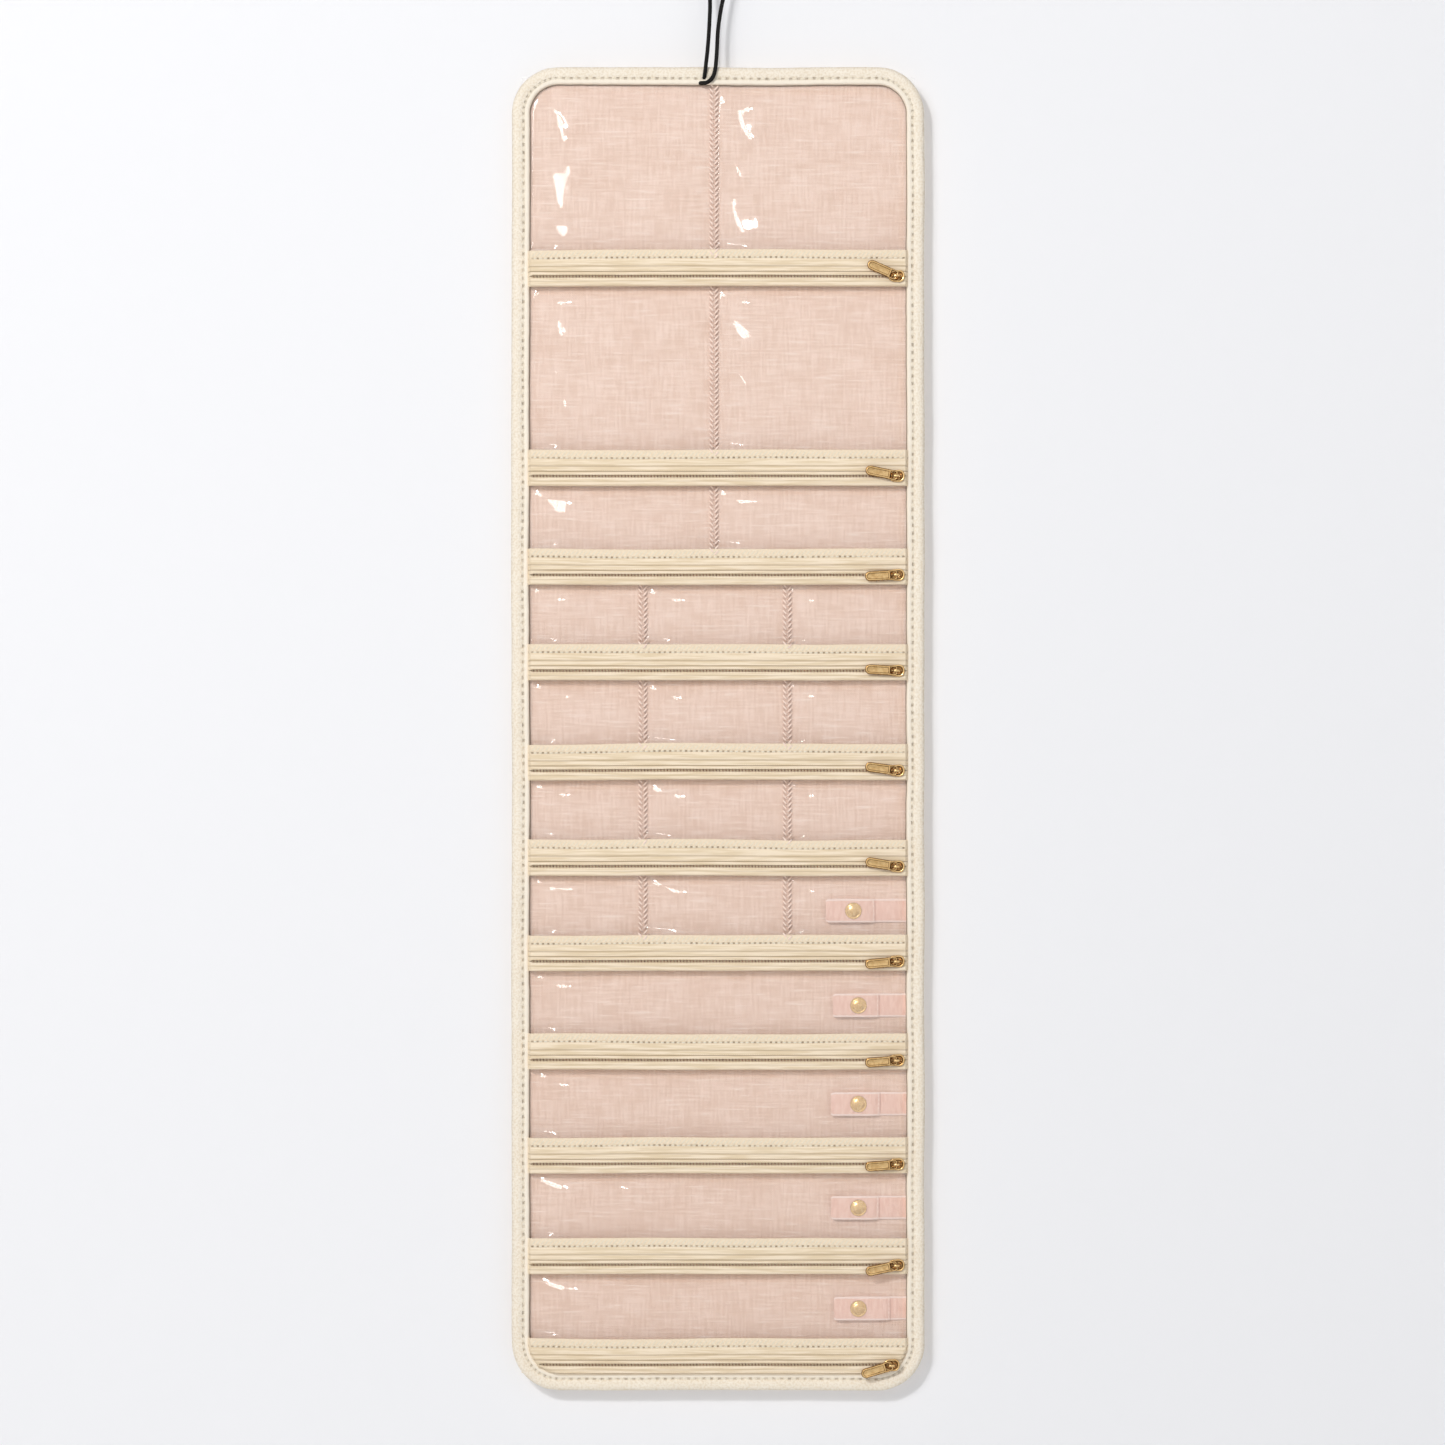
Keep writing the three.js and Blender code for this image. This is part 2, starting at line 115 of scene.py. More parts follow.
# Driving sizes of the zips
ZIP_HEIGHT = 17.5
TAPE_FOOT_DEPTH = 1
SLIT_RISE = 4.7
TAPE_STITCH_RISE = 13.7
TAPE_STITCH_PITCH = 2.6
TAPE_STITCHES_EACH_SIDE = 35
ZIGZAG_RISE = 15.7
ZIGZAG_PITCH = 2.1
ZIGZAGS_EACH_SIDE = 43
TOOTH_PITCH = 1.6
TEETH_EACH_SIDE = 57
TAPE_SWAY = 0.8
SLIDER_RUN_HALF = 3.4  # beside the slit, where a tape strays least
SLIDER_LENGTH = 8
SLIDER_HEIGHT = 6
FRONT_PLATE = (6.3, 7.2)  # back and front depth
REAR_PLATE = (3.2, 3.9)
BRIDGE_DEPTH = 9.45
BRIDGE_WIDTH = 1.3
BRIDGE_THICKNESS = 0.7
POST_LENGTH = 5
POST_THICKNESS = 0.4
PULL_LENGTH = 15.5
PULL_WIDTH = 4.9
PULL_THICKNESS = 1
PULL_SIDE_BAR = 0.8

# Driving sizes of the snap straps
STRAP_HEIGHT = 11.5
STRAP_THICKNESS = 0.6
STRAP_BASE_DEPTH = 0.6  # its middle
FLAP_DEPTH = 2.5
FLAP_JOINT_DEPTH = 1.5
SNAP_FROM_BASE_END = 6.1

# Driving sizes of the cord
CORD_DIAMETER = 2
HOLE = Vector((-7, 0, -51.8))
KNOT_SPREAD = 2.2
KNOT_DEPTH = -4.5
KNOT_STEPS = 72
SWING_REACH_ABOVE = 2.5  # where the cord would start to turn, from the swing's axis; worked out below but not used
SWING_REACH_BELOW = 2  # and where it would have turned all the way

# Places that follow from the sizes
PANEL_HALF = PANEL_WIDTH / 2
INNER_HALF = PANEL_HALF - BINDING_WIDTH
PANEL_TOP = -PANEL_DROP
joints = {joint["name"]: joint for joint in frame["joints"]}
FOLD_Z = joints["panel_fold"]["pos_m"][2] / MM
SWING_Z = joints["panel_swing"]["pos_m"][2] / MM


class Row:
    """One row of pockets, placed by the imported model."""

    def __init__(self, number, top):
        self.number = number
        self.label = f"{number:02d}"
        self.top = top
        self.tape_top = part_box("zip_tape_" + self.label)[1].z / MM
        self.tape_low = self.tape_top - ZIP_HEIGHT
        self.slit = self.tape_low + SLIT_RISE
        self.section = joints["zip_slide_" + self.label]["parent"]
        self.pull = joints["pull_flip_" + self.label]
        self.slider_x = self.pull["pos_m"][0] / MM
        self.dividers = TWO_POCKETS if number <= 3 else THREE_POCKETS if number <= 7 else []
        self.strap = joints.get("strap_open_" + self.label)
        self.tuck = FILM_TUCK
        if number == 1:
            self.tuck = SEAM_ALLOWANCE
        if abs(top - FOLD_Z) < 1:
            self.tuck = 0


rows = []
next_top = PANEL_TOP - BINDING_WIDTH
while f"zip_tape_{len(rows) + 1:02d}" in frame["nodes"]:
    rows.append(Row(len(rows) + 1, next_top))
    next_top = rows[-1].tape_low
PANEL_BOTTOM = next_top - BINDING_WIDTH
PANEL_MIDDLE = (PANEL_TOP + PANEL_BOTTOM) / 2
OPENING_HALF = (PANEL_TOP - PANEL_BOTTOM) / 2 - BINDING_WIDTH


# Small sums
def smooth_step(value, start, end):
    t = min(max((value - start) / (end - start), 0), 1)
    return t * t * (3 - 2 * t)


def swell(share, power=2.2):
    """A rise that starts steep and ends level, from 0 to 1. It is rounder the higher its power."""
    return 1 - (1 - min(max(share, 0), 1)) ** power


def blend_of(first, second, share):
    return first + (second - first) * share


def inside_opening(x, z):
    """How far a point lies inside the binding's inner edge."""
    across = abs(x) - (INNER_HALF - INNER_CORNER)
    up = abs(z - PANEL_MIDDLE) - (OPENING_HALF - INNER_CORNER)
    if across > 0 and up > 0:
        return INNER_CORNER - math.hypot(across, up)
    return INNER_CORNER - max(across, up)


def cloth_wave(x, z):
    """How far the cloth stands proud of its flat place."""
    return noise.noise(Vector((x, 0, z)) / 26) * 0.2


def at(x, depth, z):
    return Vector((x, -depth, z))


# Finishes
class Field:
    """A number that varies over a surface, for plain arithmetic."""

    def __init__(self, nodes, socket):
        self.nodes = nodes
        self.socket = socket

    def math(self, operation, *others):
        values = dict(enumerate((self, *others)))
        return self.nodes.node("ShaderNodeMath", {"operation": operation}, values)

    def __add__(self, other):
        return self.math("ADD", other)

    __radd__ = __add__

    def __mul__(self, other):
        return self.math("MULTIPLY", other)

    __rmul__ = __mul__

    def __sub__(self, other):
        return self.math("SUBTRACT", other)

    def __rsub__(self, other):
        return (self * -1) + other

    def __truediv__(self, other):
        return self.math("DIVIDE", other)

    def sine(self, length):
        """A wave of that length, from -1 to 1."""
        return (self * (2 * math.pi / length)).math("SINE")

    def from_nearest(self, pitch):
        """Distance to the nearest multiple of pitch."""
        return ((self / pitch + 0.5).math("FRACT") - 0.5).math("ABSOLUTE") * pitch

    def ramp(self, start, end, low=0.0, high=1.0):
        """A smooth change from low to high while this goes from start to end."""
        settings = {"interpolation_type": "SMOOTHSTEP"}
        values = dict(enumerate((self, start, end, low, high)))
        return self.nodes.node("ShaderNodeMapRange", settings, values)

    def line(self, place, width):
        """1 on a line across the surface, fading to 0 at its width."""
        return (self - place).math("ABSOLUTE").ramp(0, width, 1, 0)


class Nodes:
    """The nodes of a material or of the world."""

    def __init__(self, tree):
        self.tree = tree

    def feed(self, socket, value):
        if isinstance(value, Field):
            self.tree.links.new(value.socket, socket)
        else:
            socket.default_value = value

    def node(self, kind, settings=None, values=None, output=0):
        """Adds a node: its settings first, then the values or links of its sockets."""
        made = self.tree.nodes.new(kind)
        for key, value in (settings or {}).items():
            setattr(made, key, value)
        for key, value in (values or {}).items():
            self.feed(made.inputs[key], value)
        return Field(self, made.outputs[output])


class Finish(Nodes):
    """A material, and the nodes that vary it over the surface.

    On a piece that bends, its patterns follow the piece's UV map, and elsewhere its place.
    """

    def __init__(self, name, colour, roughness, bends=False, **constants):
        self.material = bpy.data.materials.new(name)
        self.material.use_nodes = True
        super().__init__(self.material.node_tree)
        self.shader = self.tree.nodes["Principled BSDF"]
        self.set("Base Color", (*colour, 1))
        self.set("Roughness", roughness)
        for socket, value in constants.items():
            self.set(socket.replace("_", " "), value)
        if bends:
            surface = self.node("ShaderNodeUVMap", {"uv_map": "UVMap"})
            self.place = self.node("ShaderNodeVectorMath", {"operation": "SCALE"}, {0: surface, "Scale": MM})
        else:
            self.place = self.node("ShaderNodeTexCoord", output=3)

    def set(self, socket, value):
        self.feed(self.shader.inputs[socket], value)

    def parts(self, vector):
        """The X, Y and Z of a vector."""
        return [self.node("ShaderNodeSeparateXYZ", values={0: vector}, output=k) for k in range(3)]

    def surface_place(self):
        """Millimetres along and across the surface, from the piece's UV map."""
        return self.parts(self.node("ShaderNodeUVMap", {"uv_map": "UVMap"}))[:2]

    def grain(self, size, detail=2, stretch=(1, 1, 1)):
        """Noise of that size in millimetres, longer where stretch is more than 1."""
        scale = [1 / (size * MM * longer) for longer in stretch]
        place = self.node("ShaderNodeMapping", {}, {"Vector": self.place, "Scale": scale})
        return self.node("ShaderNodeTexNoise", {}, {"Vector": place, "Scale": 1, "Detail": detail})

    def mix_colour(self, share, first, second):
        settings = {"data_type": "RGBA", "clamp_factor": True}
        values = {0: share, 6: self.colour(first), 7: self.colour(second)}
        return self.node("ShaderNodeMix", settings, values, output=2)

    @staticmethod
    def colour(value):
        return value if isinstance(value, Field) else (*value, 1)

    def bump(self, height, depth):
        """Raises the surface where height is 1, by a depth in millimetres."""
        values = {"Height": height, "Distance": depth * MM, "Strength": 1}
        self.set("Normal", self.node("ShaderNodeBump", {}, values))


def linen():
    pale, deep = (0.93, 0.715, 0.60), (0.78, 0.54, 0.415)
    slub, seam_shade = (0.95, 0.79, 0.70), (0.56, 0.34, 0.25)
    finish = Finish("blush_linen", pale, 0.9, bends=True, Sheen_Weight=0.1)
    x, z = finish.surface_place()
    warp = finish.grain(1.1, 3, (1, 12, 1))
    weft = finish.grain(1.1, 3, (14, 1, 1))
    patches = finish.grain(15, 3, (1.6, 0.8, 1))
    threads = (warp + weft) * 0.5
    shade = threads.ramp(0.39, 0.61) * 0.6 + patches.ramp(0.34, 0.66) * 0.26 + 0.07
    # painted shade: the cloth grows darker towards the bottom of the panel
    shade = shade - z.ramp(PANEL_BOTTOM, FOLD_Z * 0.6, 0.2, 0)
    cloth = finish.mix_colour(shade, deep, pale)
    slubbed = finish.mix_colour(weft.ramp(0.6, 0.7) * 0.5, cloth, slub)
    # painted shade: dark lines under the stitches of each seam between pockets and along each zip's foot
    seams = 0
    for divider in TWO_POCKETS + THREE_POCKETS:
        sewn = [row for row in rows if divider in row.dividers]
        low, high = sewn[-1].tape_low, sewn[0].top
        between = z.ramp(low, low + 1) * z.ramp(high - 1, high, 1, 0)
        beside = (x - divider).math("ABSOLUTE")
        seams = seams + beside.line(DIVIDER_STITCH_SPREAD, 1.3) * between * 0.7
    for row in rows:
        seams = seams + z.line(row.tape_low + TAPE_FOOT_DEPTH, 1.1) * 0.45
    finish.set("Base Color", finish.mix_colour(seams, slubbed, seam_shade))
    weave = x.sine(0.9) * z.sine(0.9)
    finish.bump(threads + weave * 0.12, 0.35)
    return finish


def binding_cloth(stitch_pitch):
    pale, deep, hole = (0.945, 0.86, 0.73), (0.83, 0.72, 0.565), (0.52, 0.43, 0.31)
    shadow = (0.27, 0.20, 0.14)
    finish = Finish("cream_binding", pale, 0.82, bends=True, Sheen_Weight=0.15)
    along, inset = finish.surface_place()
    nubs = finish.grain(1.1, 3)
    ribs = along.sine(0.8) * inset.sine(0.8)
    shade = nubs.ramp(0.36, 0.6) * 0.8 + finish.grain(14, 2).ramp(0.3, 0.7) * 0.2
    # painted highlight: the raised lip inside the stitch row is painted paler, and its bump is smoother too
    lip_highlight = inset.ramp(BINDING_STITCH_INSET + 0.3, BINDING_STITCH_INSET + 1)
    rim = inset.ramp(8.62, 8.75)
    # painted shade: the hole colour darkens the needle holes between stitches, which the bump also sinks
    stitched = inset.line(BINDING_STITCH_INSET, 0.8) * along.from_nearest(stitch_pitch).ramp(0.5, 1.2, 1, 0)
    stitched = stitched * (finish.grain(5).ramp(0.35, 0.6) * 0.5 + 0.5)
    cloth = finish.mix_colour(shade.math("MAXIMUM", lip_highlight * 0.85), deep, pale)
    hole_shaded = finish.mix_colour(stitched * 0.7, cloth, hole)
    finish.set("Base Color", finish.mix_colour(rim, hole_shaded, shadow))
    finish.bump(nubs * (1 - lip_highlight * 0.7) + ribs * 0.1 - stitched * 1.6, 0.35)
    return finish


def tape_cloth():
    pale, deep, crease = (0.93, 0.785, 0.595), (0.80, 0.645, 0.44), (0.29, 0.19, 0.10)
    finish = Finish("cream_zip_tape", pale, 0.8, Sheen_Weight=0.1)
    x, rise = finish.surface_place()
    nubs = finish.grain(1.0, 3)
    worked = rise.ramp(TAPE_STITCH_RISE - 0.8, TAPE_STITCH_RISE)
    twill = (x + rise).sine(0.9)
    streaks = finish.grain(0.9, 2, (22, 1, 1))
    shade = (nubs.ramp(0.36, 0.62) * 0.4 + 0.6) * worked + streaks.ramp(0.36, 0.64) * (1 - worked)
    # painted shade: the crease colour darkens the tape's grooves, its slit and its stitch holes
    lines = rise.line(2.3, 0.4) * 0.3 + rise.line(7.05, 0.45) * 0.7 + rise.line(9.65, 0.75) * 0.42
    slit = (rise - SLIT_RISE).math("ABSOLUTE").ramp(0.5, 0.85, 1, 0)
    holes = rise.line(TAPE_STITCH_RISE, 0.75) * x.from_nearest(TAPE_STITCH_PITCH).ramp(0.3, 0.85, 1, 0)
    holes = holes * (finish.grain(5).ramp(0.35, 0.6) * 0.6 + 0.4)
    groove_shade = (lines + slit * 0.5 + holes * 0.85).math("MINIMUM", 1)
    cloth = finish.mix_colour(shade, deep, pale)
    finish.set("Base Color", finish.mix_colour(groove_shade, cloth, crease))
    finish.bump(nubs * (worked * 1.1 + 0.3) + twill * 0.1 - holes * 1.4, 0.3)
    return finish


def clear_film():
    finish = Finish(
        "clear_film",
        (0.95, 0.93, 0.92),
        0.12,
        Alpha=0.07,
        Coat_Weight=1,
        Coat_IOR=3.5,
        Coat_Roughness=0.06,
    )
    finish.bump(finish.grain(11, 1, (1, 1, 1.6)), 0.2)
    return finish


def gold(name, bright, deep):
    finish = Finish(name, bright, 0.24, Metallic=1)
    wear = finish.grain(1.6, 2)
    finish.set("Base Color", finish.mix_colour(wear.ramp(0.35, 0.65), deep, bright))
    finish.set("Roughness", wear.ramp(0.3, 0.7, 0.36, 0.22))
    finish.bump(finish.grain(1.3, 1), 0.03)
    return finish


def satin_ribbon():
    pale, deep, edge = (0.93, 0.64, 0.53), (0.84, 0.52, 0.41), (0.96, 0.78, 0.70)
    finish = Finish("blush_ribbon", pale, 0.55, Sheen_Weight=0.2)
    along, across = finish.surface_place()
    ribs = along.sine(0.55)
    selvedge = across.math("ABSOLUTE").ramp(STRAP_HEIGHT / 2 - 1, STRAP_HEIGHT / 2 - 0.7)
    shade = ribs * 0.12 + finish.grain(1.2, 2, (1, 1, 4)).ramp(0.3, 0.7) * 0.75
    ribbon = finish.mix_colour(shade, deep, pale)
    finish.set("Base Color", finish.mix_colour(selvedge * 0.8, ribbon, edge))
    finish.bump(ribs * 0.3 + selvedge, 0.07)
    return finish


def braid():
    black, worn = (0.003, 0.003, 0.003), (0.010, 0.009, 0.008)
    finish = Finish("black_braid", black, 0.6, Specular_IOR_Level=0.15)
    along, around = finish.surface_place()
    turn = math.pi * CORD_DIAMETER
    plaits = (along + around * (2.4 / turn)).sine(1.2) * (along - around * (2.4 / turn)).sine(1.2)
    finish.set("Base Color", finish.mix_colour(plaits * 0.5 + 0.5, black, worn))
    finish.bump(plaits, 0.06)
    return finish


def thread(name, pale, deep):
    finish = Finish(name, pale, 0.7, Sheen_Weight=0.1)
    x, _, z = finish.parts(finish.place)
    twist = (x + z).sine(0.5 * MM)
    finish.set("Base Color", finish.mix_colour(twist * 0.3 + finish.grain(1.5, 2), deep, pale))
    finish.bump(twist, 0.03)
    return finish


def nylon():
    deep, pale = (0.62, 0.48, 0.31), (0.84, 0.70, 0.50)
    finish = Finish("nylon_teeth", pale, 0.4)
    finish.set("Base Color", finish.mix_colour(finish.grain(2, 2), deep, pale))
    return finish


# Shapes
def rounded_outline(left, right, low, high, radius, steps=6):
    """A rectangle with round corners, as points in X and Z."""
    corners = [
        (right - radius, low + radius, -90),
        (right - radius, high - radius, 0),
        (left + radius, high - radius, 90),
        (left + radius, low + radius, 180),
    ]
    points = []
    for x, z, start in corners:
        for k in range(steps + 1):
            angle = math.radians(start + 90 * k / steps)
            points.append((x + radius * math.cos(angle), z + radius * math.sin(angle)))
    return points


def slab(bm, outline, back, front, bevel):
    """A plate with that front view, between two depths, with rounded edges. Returns its front face."""
    face = bm.faces.new([bm.verts.new((x, -back, z)) for x, z in outline])
    made = bmesh.ops.extrude_face_region(bm, geom=[face], use_keep_orig=True)["geom"]
    faces = [item for item in made if isinstance(item, bmesh.types.BMFace)]
    lid = next(item for item in faces if len(item.verts) == len(outline))
    bmesh.ops.translate(bm, verts=lid.verts, vec=FRONT * (front - back))
    rims = list(face.edges) + list(lid.edges)
    bmesh.ops.bevel(bm, geom=rims, offset=bevel, segments=2, profile=0.5, affect="EDGES", material=-1)
    return max(bm.faces, key=lambda f: (round(-f.calc_center_median().y, 3), f.calc_area()))


def recess(bm, face, margin, depth):
    """Sinks the middle of a face inside a rim."""
    bmesh.ops.inset_region(bm, faces=[face], thickness=margin, use_even_offset=True)
    bmesh.ops.inset_region(bm, faces=[face], thickness=depth, use_even_offset=True)
    bmesh.ops.translate(bm, verts=face.verts, vec=FRONT * -depth)


def oval(width, height, sides=10, power=2.0):
    """A closed outline, round at power 2 and squarer above it."""
    points = []
    for k in range(sides):
        angle = 2 * math.pi * (k + 0.5) / sides
        c, s = math.cos(angle), math.sin(angle)
        x = math.copysign(abs(c) ** (2 / power), c) * width / 2
        y = math.copysign(abs(s) ** (2 / power), s) * height / 2
        points.append(Vector((x, y, 0)))
    return points


def sweep(bm, outline, frames, along, across=None, capped=True):
    """Extrudes a closed outline from frame to frame.

    Its UV map holds millimetres along and across. Across has a value for each point, and one more where the
    last side ends on a value of its own.
    """
    uv = bm.loops.layers.uv.get("UVMap") or bm.loops.layers.uv.new("UVMap")
    count = len(outline)
    across = across or [point.x for point in outline]
    last = across[count] if len(across) > count else across[0]
    ring = [bm.verts.new(frames[0] @ point) for point in outline]
    edges = [bm.edges.new((ring[k], ring[(k + 1) % count])) for k in range(count)]
    first = list(ring)
    for step in range(1, len(frames)):
        made = bmesh.ops.extrude_edge_only(bm, edges=edges)["geom"]
        fresh = {item for item in made if isinstance(item, bmesh.types.BMVert)}
        old = {vert: k for k, vert in enumerate(ring)}
        ring = [next(e.other_vert(v) for e in v.link_edges if e.other_vert(v) in fresh) for v in ring]
        new = {vert: k for k, vert in enumerate(ring)}
        for vert, k in new.items():
            vert.co = frames[step] @ outline[k]
        for face in (item for item in made if isinstance(item, bmesh.types.BMFace)):
            closing = {old.get(v, new.get(v)) for v in face.verts} == {0, count - 1}
            for loop in face.loops:
                k = new.get(loop.vert, old.get(loop.vert))
                place = last if closing and k == 0 else across[k]
                loop[uv].uv = (along[step if loop.vert in new else step - 1], place)
        edges = [e for e in made if isinstance(e, bmesh.types.BMEdge) and set(e.verts) <= fresh]
    if capped:
        bm.faces.new(first)
        bm.faces.new(ring)


def frame_of(place, x, y, z):
    matrix = Matrix((x, y, z)).transposed().to_4x4()
    matrix.translation = place
    return matrix


def line_frames(points, side=None):
    """Frames along a line of points, with the least twist, and the distance along it of each."""
    frames, along = [], [0.0]
    side = side or (points[1] - points[0]).orthogonal()
    for k, point in enumerate(points):
        ahead = (points[min(k + 1, len(points) - 1)] - points[max(k - 1, 0)]).normalized()
        side = (side - ahead * side.dot(ahead)).normalized()
        frames.append(frame_of(point, side, ahead.cross(side), ahead))
        along.append(along[-1] + (points[min(k + 1, len(points) - 1)] - point).length)
    return frames, along[:-1]


def smooth_line(points, step):
    """Points about a step apart on a smooth curve through the given ones."""
    spans = [(b - a).length for a, b in zip(points, points[1:])]
    slopes = [(points[1] - points[0]) / spans[0]]
    for k in range(1, len(points) - 1):
        slopes.append((points[k + 1] - points[k - 1]) / (spans[k - 1] + spans[k]))
    slopes.append((points[-1] - points[-2]) / spans[-1])
    line = []
    for k, span in enumerate(spans):
        count = max(1, round(span / step))
        for j in range(count):
            t = j / count
            line.append(
                points[k] * (1 + 2 * t) * (1 - t) ** 2
                + slopes[k] * span * t * (1 - t) ** 2
                + points[k + 1] * t * t * (3 - 2 * t)
                + slopes[k + 1] * span * t * t * (t - 1)
            )
    return [*line, points[-1].copy()]


def tube(bm, points, diameter, sides=12):
    frames, along = line_frames(points)
    outline = oval(diameter, diameter, sides)
    turn = math.pi * diameter
    sweep(bm, outline, frames, along, across=[turn * k / sides for k in range(sides + 1)])


def unit_stitch():
    """The shape of one stitch, 1 long, wide and high, along X."""
    bm = bmesh.new()
    lying = Matrix.Rotation(math.pi / 2, 4, "Y")
    bmesh.ops.create_uvsphere(bm, u_segments=6, v_segments=6, radius=0.5, matrix=lying)
    mesh = bpy.data.meshes.new("stitch")
    bm.to_mesh(mesh)
    bm.free()
    return mesh


STITCH = unit_stitch()


def stitch(bm, place, length, width, turn=0.0, height=None):
    """One stitch of thread that lies along X, turned about the front's direction."""
    size = Matrix.Diagonal((length, height or width, width, 1))
    shape = STITCH.copy()
    shape.transform(Matrix.Translation(place) @ Matrix.Rotation(math.radians(turn), 4, "Y") @ size)
    bm.from_mesh(shape)
    bpy.data.meshes.remove(shape)


def ruffle(bm, amount, size):
    """Moves every point a little, more or less alike over that size."""
    for vert in bm.verts:
        vert.co += noise.noise_vector(vert.co / size) * amount


def stations(half, fine, coarse):
    """X places from side to side, close together near the sides."""
    right, x, step = [], half, fine
    while x > coarse / 2:
        right.append(x)
        x -= step
        step = min(step * 1.12, coarse)
    return [-x for x in right] + [0] + right[::-1]


def add_piece(name, bm, finish, body=None, replaces=(), side_shade_finish=None, flat=0.72):
    """Makes a piece from a mesh in millimetres.

    Where it has an edge finish, each face that looks less to the front than flat takes that one, as a
    painted dark reflection.
    """
    bmesh.ops.recalc_face_normals(bm, faces=bm.faces)
    bmesh.ops.transform(bm, matrix=Matrix.Scale(MM, 4), verts=bm.verts)
    for face in bm.faces:
        face.smooth = True
        face.material_index = int(side_shade_finish is not None and abs(face.normal.y) < flat)
    for edge in bm.edges:
        edge.smooth = len(edge.link_faces) != 2 or edge.calc_face_angle() < math.radians(50)
    mesh = bpy.data.meshes.new(name)
    bm.to_mesh(mesh)
    bm.free()
    mesh.materials.append(finish.material)
    if side_shade_finish:
        mesh.materials.append(side_shade_finish.material)
    piece = bpy.data.objects.new(name, mesh)
    bpy.context.scene.collection.objects.link(piece)
    if replaces:
        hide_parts(*replaces)
    if body:
        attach(piece, body)
    return piece


def fold(piece):
    """Bakes the piece's place into its mesh. The span round the fold line is worked out but not used."""
    start, end = Vector((0, 0, FOLD_Z + FOLD_REACH)), Vector((0, 0, FOLD_Z - FOLD_REACH))
    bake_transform(piece)


def cut_for_fold(bm):
    """Adds points near the fold line."""
    for k in range(-FOLD_REACH, FOLD_REACH + 1):
        geometry = [*bm.verts, *bm.edges, *bm.faces]
        bmesh.ops.bisect_plane(bm, geom=geometry, dist=0.05, plane_co=UP * (FOLD_Z + k), plane_no=UP)


# Camera
CAMERA_PLACE = (0.0022, -1.975, -0.3682)  # metres
CAMERA_LENS = 100
camera = bpy.data.objects.new("camera", bpy.data.cameras.new("camera"))
camera.data.lens = CAMERA_LENS
camera.data.clip_end = 50
camera.location = CAMERA_PLACE
camera.rotation_euler = (math.pi / 2, 0, 0)
bpy.context.scene.collection.objects.link(camera)
bpy.context.scene.camera = camera

# The cord, from the hole in the binding up round the loop's top and back down to the hole
cord_points = [
    (-7.0, -0.6, -52.2),
    (-6.8, -2.4, -51.5),
    (-6.5, -3.9, -49.9),
    (-6.2, -4.5, -47.7),
    (-5.8, -4.4, -44.0),
    (-5.1, -3.8, -37.5),
    (-4.4, -2.5, -27.9),
    (-3.9, -1.0, -15.5),
    (-4.1, -0.3, -8.5),
    (-4.3, 0.0, -3.5),
    (-3.1, 0.0, -0.25),
    (0.0, 0.0, 1.0),
    (3.1, 0.0, -0.25),
    (4.3, 0.0, -3.5),
    (3.4, -0.3, -8.8),
    (1.6, -1.1, -16.5),
    (0.0, -2.6, -27.9),
    (-0.5, -3.8, -37.5),
    (-0.9, -4.4, -43.5),
    (-1.5, -4.6, -48.2),
    (-2.8, -4.7, -51.8),
    (-5.5, -4.6, -54.0),
    (-8.2, -3.4, -54.1),
    (-9.8, -0.8, -53.4),
]
black_braid = braid()
cord_line = smooth_line([Vector(point) for point in cord_points], 0.7)
bm = bmesh.new()
tube(bm, cord_line, CORD_DIAMETER, 14)
cord = add_piece("cord", bm, black_braid, replaces=["hanging_cord"])
knot_line = []
for k in range(KNOT_STEPS + 1):
    t = 2 * math.pi * k / KNOT_STEPS
    across = math.sin(t) + 2 * math.sin(2 * t)
    up = math.cos(t) - 2 * math.cos(2 * t)
    depth = KNOT_DEPTH - math.sin(3 * t) * 0.9
    knot_line.append(at(HOLE.x, depth, HOLE.z) + (RIGHT * across + UP * up) * KNOT_SPREAD / 3)
bm = bmesh.new()
tube(bm, knot_line, CORD_DIAMETER)
tube(bm, [at(HOLE.x, -1, HOLE.z), at(HOLE.x, -3, HOLE.z), at(HOLE.x, -5, HOLE.z)], CORD_DIAMETER)
knot = add_piece("cord_knot", bm, black_braid, "upper_section", ["cord_tie"])
swing_start = (0, 0, (SWING_Z + SWING_REACH_ABOVE) * MM)
swing_end = (0, 0, (SWING_Z - SWING_REACH_BELOW) * MM)
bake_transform(cord)
cord_length = sum((b - a).length for a, b in zip(cord_line, cord_line[1:]))
cord_line[0] * MM
[point * MM for point in cord_line]

# Backing cloth
bm = bmesh.new()
cloth_half = PANEL_HALF - CLOTH_INSET
cloth_half_height = (PANEL_TOP - PANEL_BOTTOM) / 2 - CLOTH_INSET
bmesh.ops.create_grid(bm, x_segments=50, y_segments=160, size=1)
corner = OUTER_CORNER - CLOTH_INSET
for vert in bm.verts:
    x, z = vert.co.x * cloth_half, vert.co.y * cloth_half_height
    over = Vector((abs(x) - (cloth_half - corner), abs(z) - (cloth_half_height - corner)))
    if min(over) > 0:
        shrink = max(over) / over.length
        x = math.copysign(cloth_half - corner + over.x * shrink, x)
        z = math.copysign(cloth_half_height - corner + over.y * shrink, z)
    vert.co = (x, 0, PANEL_MIDDLE + z)
cut_for_fold(bm)
for vert in bm.verts:
    vert.co.y -= cloth_wave(vert.co.x, vert.co.z)
bmesh.ops.recalc_face_normals(bm, faces=bm.faces)
if sum(face.normal.y for face in bm.faces) > 0:
    bmesh.ops.reverse_faces(bm, faces=bm.faces)
bmesh.ops.solidify(bm, geom=bm.faces[:], thickness=CLOTH_THICKNESS)
uv = bm.loops.layers.uv.new("UVMap")
